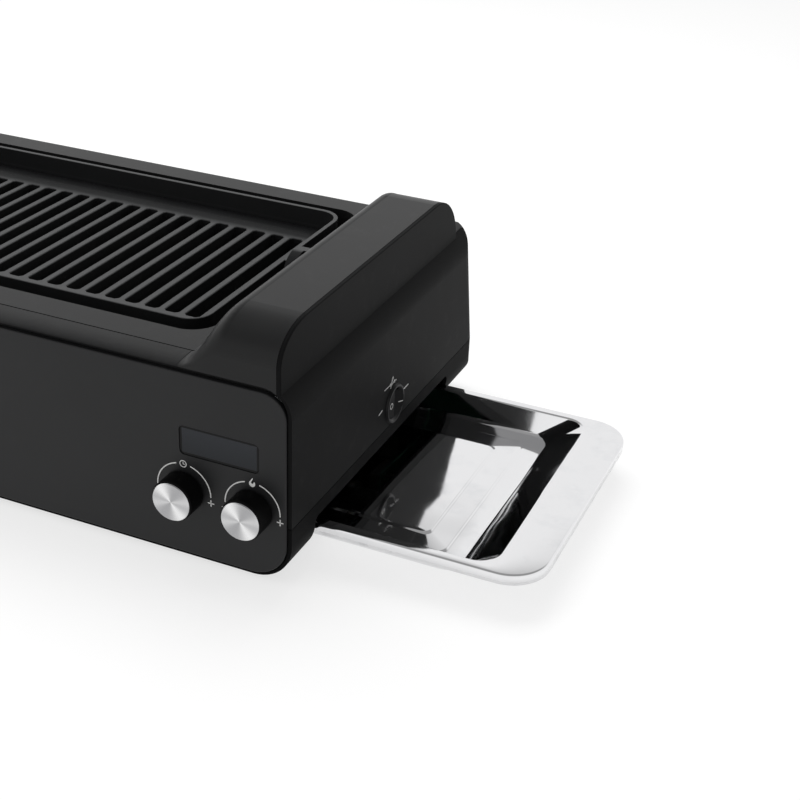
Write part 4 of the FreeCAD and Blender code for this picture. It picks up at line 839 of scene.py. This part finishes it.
# Screws
# Zinc-plated pan-head screws hold the panel, base, rear cover, liner and drive together. Those that can be
# seen from outside, in the back and the floor, have a domed head with a cross recess.
screw_zinc = Finish("screw_zinc")
plating = screw_zinc.noise(0.0012, detail=3.0)
screw_zinc.set({
    "Base Color": screw_zinc.mix(plating, (0.56, 0.57, 0.60, 1.0), (0.66, 0.65, 0.60, 1.0)),
    "Metallic": 1.0,
    "Roughness": 0.26 + plating * 0.14,
    "Normal": screw_zinc.bump(screw_zinc.noise(0.0003), 0.000006),
})
dress(screw_zinc.material, "base_screws", "rear_screws", "panel_screws", "liner_screws", "motor_screws")
screw_head_radius = 0.0036
rear_head_rise = 0.0009
base_head_rise = 0.0004
recess_width_share = 0.26
recess_length_share = 1.1
recess_depth_share = 1.3
head_apart = 0.009
head_flatness = 0.0001
back_slope = 0.125


def driven_heads(name, places, out, rise, body="root"):
    """Domed screw heads with a cross recess, set on the flat heads at these places and facing out."""
    tree = bpy.data.node_groups.new(name + "_nodes", "GeometryNodeTree")
    tree.interface.new_socket("Points", in_out="INPUT", socket_type="NodeSocketGeometry")
    values = {"Head radius": screw_head_radius, "Head rise": rise,
              "Recess width": screw_head_radius * recess_width_share}
    sockets = {key: tree.interface.new_socket(key, in_out="INPUT", socket_type="NodeSocketFloat").identifier
               for key in values}
    tree.interface.new_socket("Heads", in_out="OUTPUT", socket_type="NodeSocketGeometry")
    graph = Graph(tree)
    given = graph.node("NodeGroupInput").socket.node.outputs
    radius, height, width = (Signal(graph, given[key]) for key in values)
    dome = graph.node("GeometryNodeMeshUVSphere", None, {"Segments": 40, "Rings": 20, "Radius": radius},
                      output="Mesh")
    head = graph.node("GeometryNodeTransform", None, {
        "Geometry": dome,
        "Scale": graph.node("ShaderNodeCombineXYZ", None, {0: 1.0, 1: 1.0, 2: height / radius})})
    length = radius * recess_length_share
    for x, y in ((width, length), (length, width)):
        size = graph.node("ShaderNodeCombineXYZ", None, {0: x, 1: y, 2: height * recess_depth_share})
        arm = graph.node("GeometryNodeTransform", None, {
            "Geometry": graph.node("GeometryNodeMeshCube", None, {"Size": size}, output="Mesh"),
            "Translation": graph.node("ShaderNodeCombineXYZ", None, {2: height})})
        head = graph.node("GeometryNodeMeshBoolean", {"operation": "DIFFERENCE", "solver": "EXACT"},
                          {"Mesh 1": head, "Mesh 2": arm}, output="Mesh")
    turn = Vector(out).to_track_quat("Z", "Y").to_euler()
    placed = graph.node("GeometryNodeInstanceOnPoints", None, {
        "Points": Signal(graph, given["Points"]), "Instance": head, "Rotation": turn}, output="Instances")
    real = graph.node("GeometryNodeRealizeInstances", None, {"Geometry": placed})
    coloured = graph.node("GeometryNodeSetMaterial", None, {"Geometry": real,
                                                            "Material": screw_zinc.material})
    graph.node("NodeGroupOutput", None, {"Heads": coloured})
    points = bpy.data.meshes.new(name + "_places")
    points.from_pydata([tuple(place) for place in places], [], [])
    piece = in_scene(name, points)
    modifier = piece.modifiers.new("heads", "NODES")
    modifier.node_group = tree
    for key, value in values.items():
        modifier[sockets[key]] = value
    shaped = piece.evaluated_get(bpy.context.evaluated_depsgraph_get())
    solid = bpy.data.meshes.new_from_object(shaped)
    piece.modifiers.clear()
    piece.data = solid
    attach(piece, body)


def heads_of(node, out):
    """The middle of each flat screw head of a piece that holds several: its outermost points, in groups."""
    groups = []
    for point in (v.co for v in nodes[node].data.vertices):
        for group in groups:
            apart = group[0] - point
            if (apart - out * out.dot(apart)).length < head_apart:
                group.append(point)
                break
        else:
            groups.append([point])
    places = []
    for group in groups:
        outmost = max(out.dot(p) for p in group)
        rim = [p for p in group if out.dot(p) > outmost - head_flatness]
        places.append(Vector([(min(p[i] for p in rim) + max(p[i] for p in rim)) / 2 for i in range(3)]))
    return places


back_lean = math.atan(back_slope)
back_out = Vector((0.0, math.cos(back_lean), math.sin(back_lean)))
floor_out = Vector((0.0, 0.0, -1.0))
driven_heads("rear_screw_heads", heads_of("rear_screws", back_out), back_out, rear_head_rise)
driven_heads("base_screw_heads", heads_of("base_screws", floor_out), floor_out, base_head_rise)

# Studio
# A pale floor under a large soft light above and behind, a weaker one from the front left, and a pale
# surround that is bright up to the height of the walls and dimmer overhead.
floor_half = 2.0
floor_glow = 1.12
floor_glow_share = 0.62
sky_fill = 0.5
ceiling = 0.34
walls_end = 0.56
ceiling_start = 0.74
lamp_aim = (0.0, 0.0, 0.1)
focal_length = 64.49
sensor_width = 36.0
camera_place = (0.5211, -0.7582, 0.5098)
azimuth = math.radians(22.526)
elevation = math.radians(28.498)
roll = math.radians(-2.426)


def rays(graph, *kinds):
    """1 for these kinds of ray and 0 for all others."""
    outputs = graph.node("ShaderNodeLightPath").socket.node.outputs
    return sum(Signal(graph, outputs[f"Is {kind} Ray"]) for kind in kinds) > 0.5


floor_mesh = bpy.data.meshes.new("floor")
floor_mesh.from_pydata([(x * floor_half, y * floor_half, 0) for x, y in ((-1, -1), (1, -1), (1, 1), (-1, 1))],
                       [], [(0, 1, 2, 3)])
floor = in_scene("floor", floor_mesh)
paint = Finish("floor_paint")
paint.set({"Base Color": (0.93, 0.93, 0.93, 1.0), "Roughness": 0.9, "Specular IOR Level": 0.1})
glow = paint.node("ShaderNodeEmission", None, {"Strength": floor_glow}, output="Emission")
glow_share = rays(paint, "Camera", "Glossy", "Transmission") * floor_glow_share
floor_surface = paint.node("ShaderNodeMixShader", None, {
    0: glow_share, 1: Signal(paint, paint.shader.outputs["BSDF"]), 2: glow}, output="Shader")
paint.feed(paint.tree.nodes["Material Output"].inputs["Surface"], floor_surface)
floor_mesh.materials.append(paint.material)

sky = bpy.data.worlds.new("sky")
bpy.context.scene.world = sky
sky.use_nodes = True
air = Graph(sky.node_tree)
seen = rays(air, "Camera")
mirrored = rays(air, "Glossy", "Transmission")
direction = air.node("ShaderNodeTexCoord", output="Generated")
climb = air.node("ShaderNodeSeparateXYZ", None, {0: direction}, output="Z").over(walls_end, ceiling_start)
diffuse = (1 - seen) * (1 - mirrored) * sky_fill
reflected = (1 - seen) * mirrored * (1 - climb * (1 - ceiling))
sky_light = sky.node_tree.nodes["Background"]
air.feed(sky_light.inputs["Color"], (1.0, 1.0, 1.0, 1.0))
air.feed(sky_light.inputs["Strength"], seen + diffuse + reflected)


def softbox(name, place, width, height, power):
    """A large flat lamp that faces the grill. It isn't seen by the camera or in reflections."""
    lamp = bpy.data.lights.new(name, "AREA")
    lamp.shape = "RECTANGLE"
    lamp.size = width
    lamp.size_y = height
    lamp.energy = power
    holder = in_scene(name, lamp)
    holder.location = place
    holder.rotation_euler = (Vector(lamp_aim) - Vector(place)).to_track_quat("-Z", "Y").to_euler()
    holder.visible_camera = False
    holder.visible_glossy = False


softbox("top_light", (-0.3, 0.5, 1.4), width=1.4, height=1.0, power=16.0)
softbox("front_light", (-1.3, -1.0, 0.9), width=0.8, height=0.8, power=5.0)

forward = Vector((-math.sin(azimuth) * math.cos(elevation), math.cos(azimuth) * math.cos(elevation),
                  -math.sin(elevation)))
level_right = Vector((math.cos(azimuth), math.sin(azimuth), 0.0))
level_down = forward.cross(level_right)
camera_right = math.cos(roll) * level_right + math.sin(roll) * level_down
camera_down = -math.sin(roll) * level_right + math.cos(roll) * level_down
lens = bpy.data.cameras.new("camera")
lens.lens = focal_length
lens.sensor_width = sensor_width
camera = in_scene("camera", lens)
pose = Matrix((camera_right, -camera_down, -forward)).transposed().to_4x4()
camera.matrix_world = Matrix.Translation(camera_place) @ pose
bpy.context.scene.camera = camera
bpy.context.scene.view_settings.view_transform = "Standard"
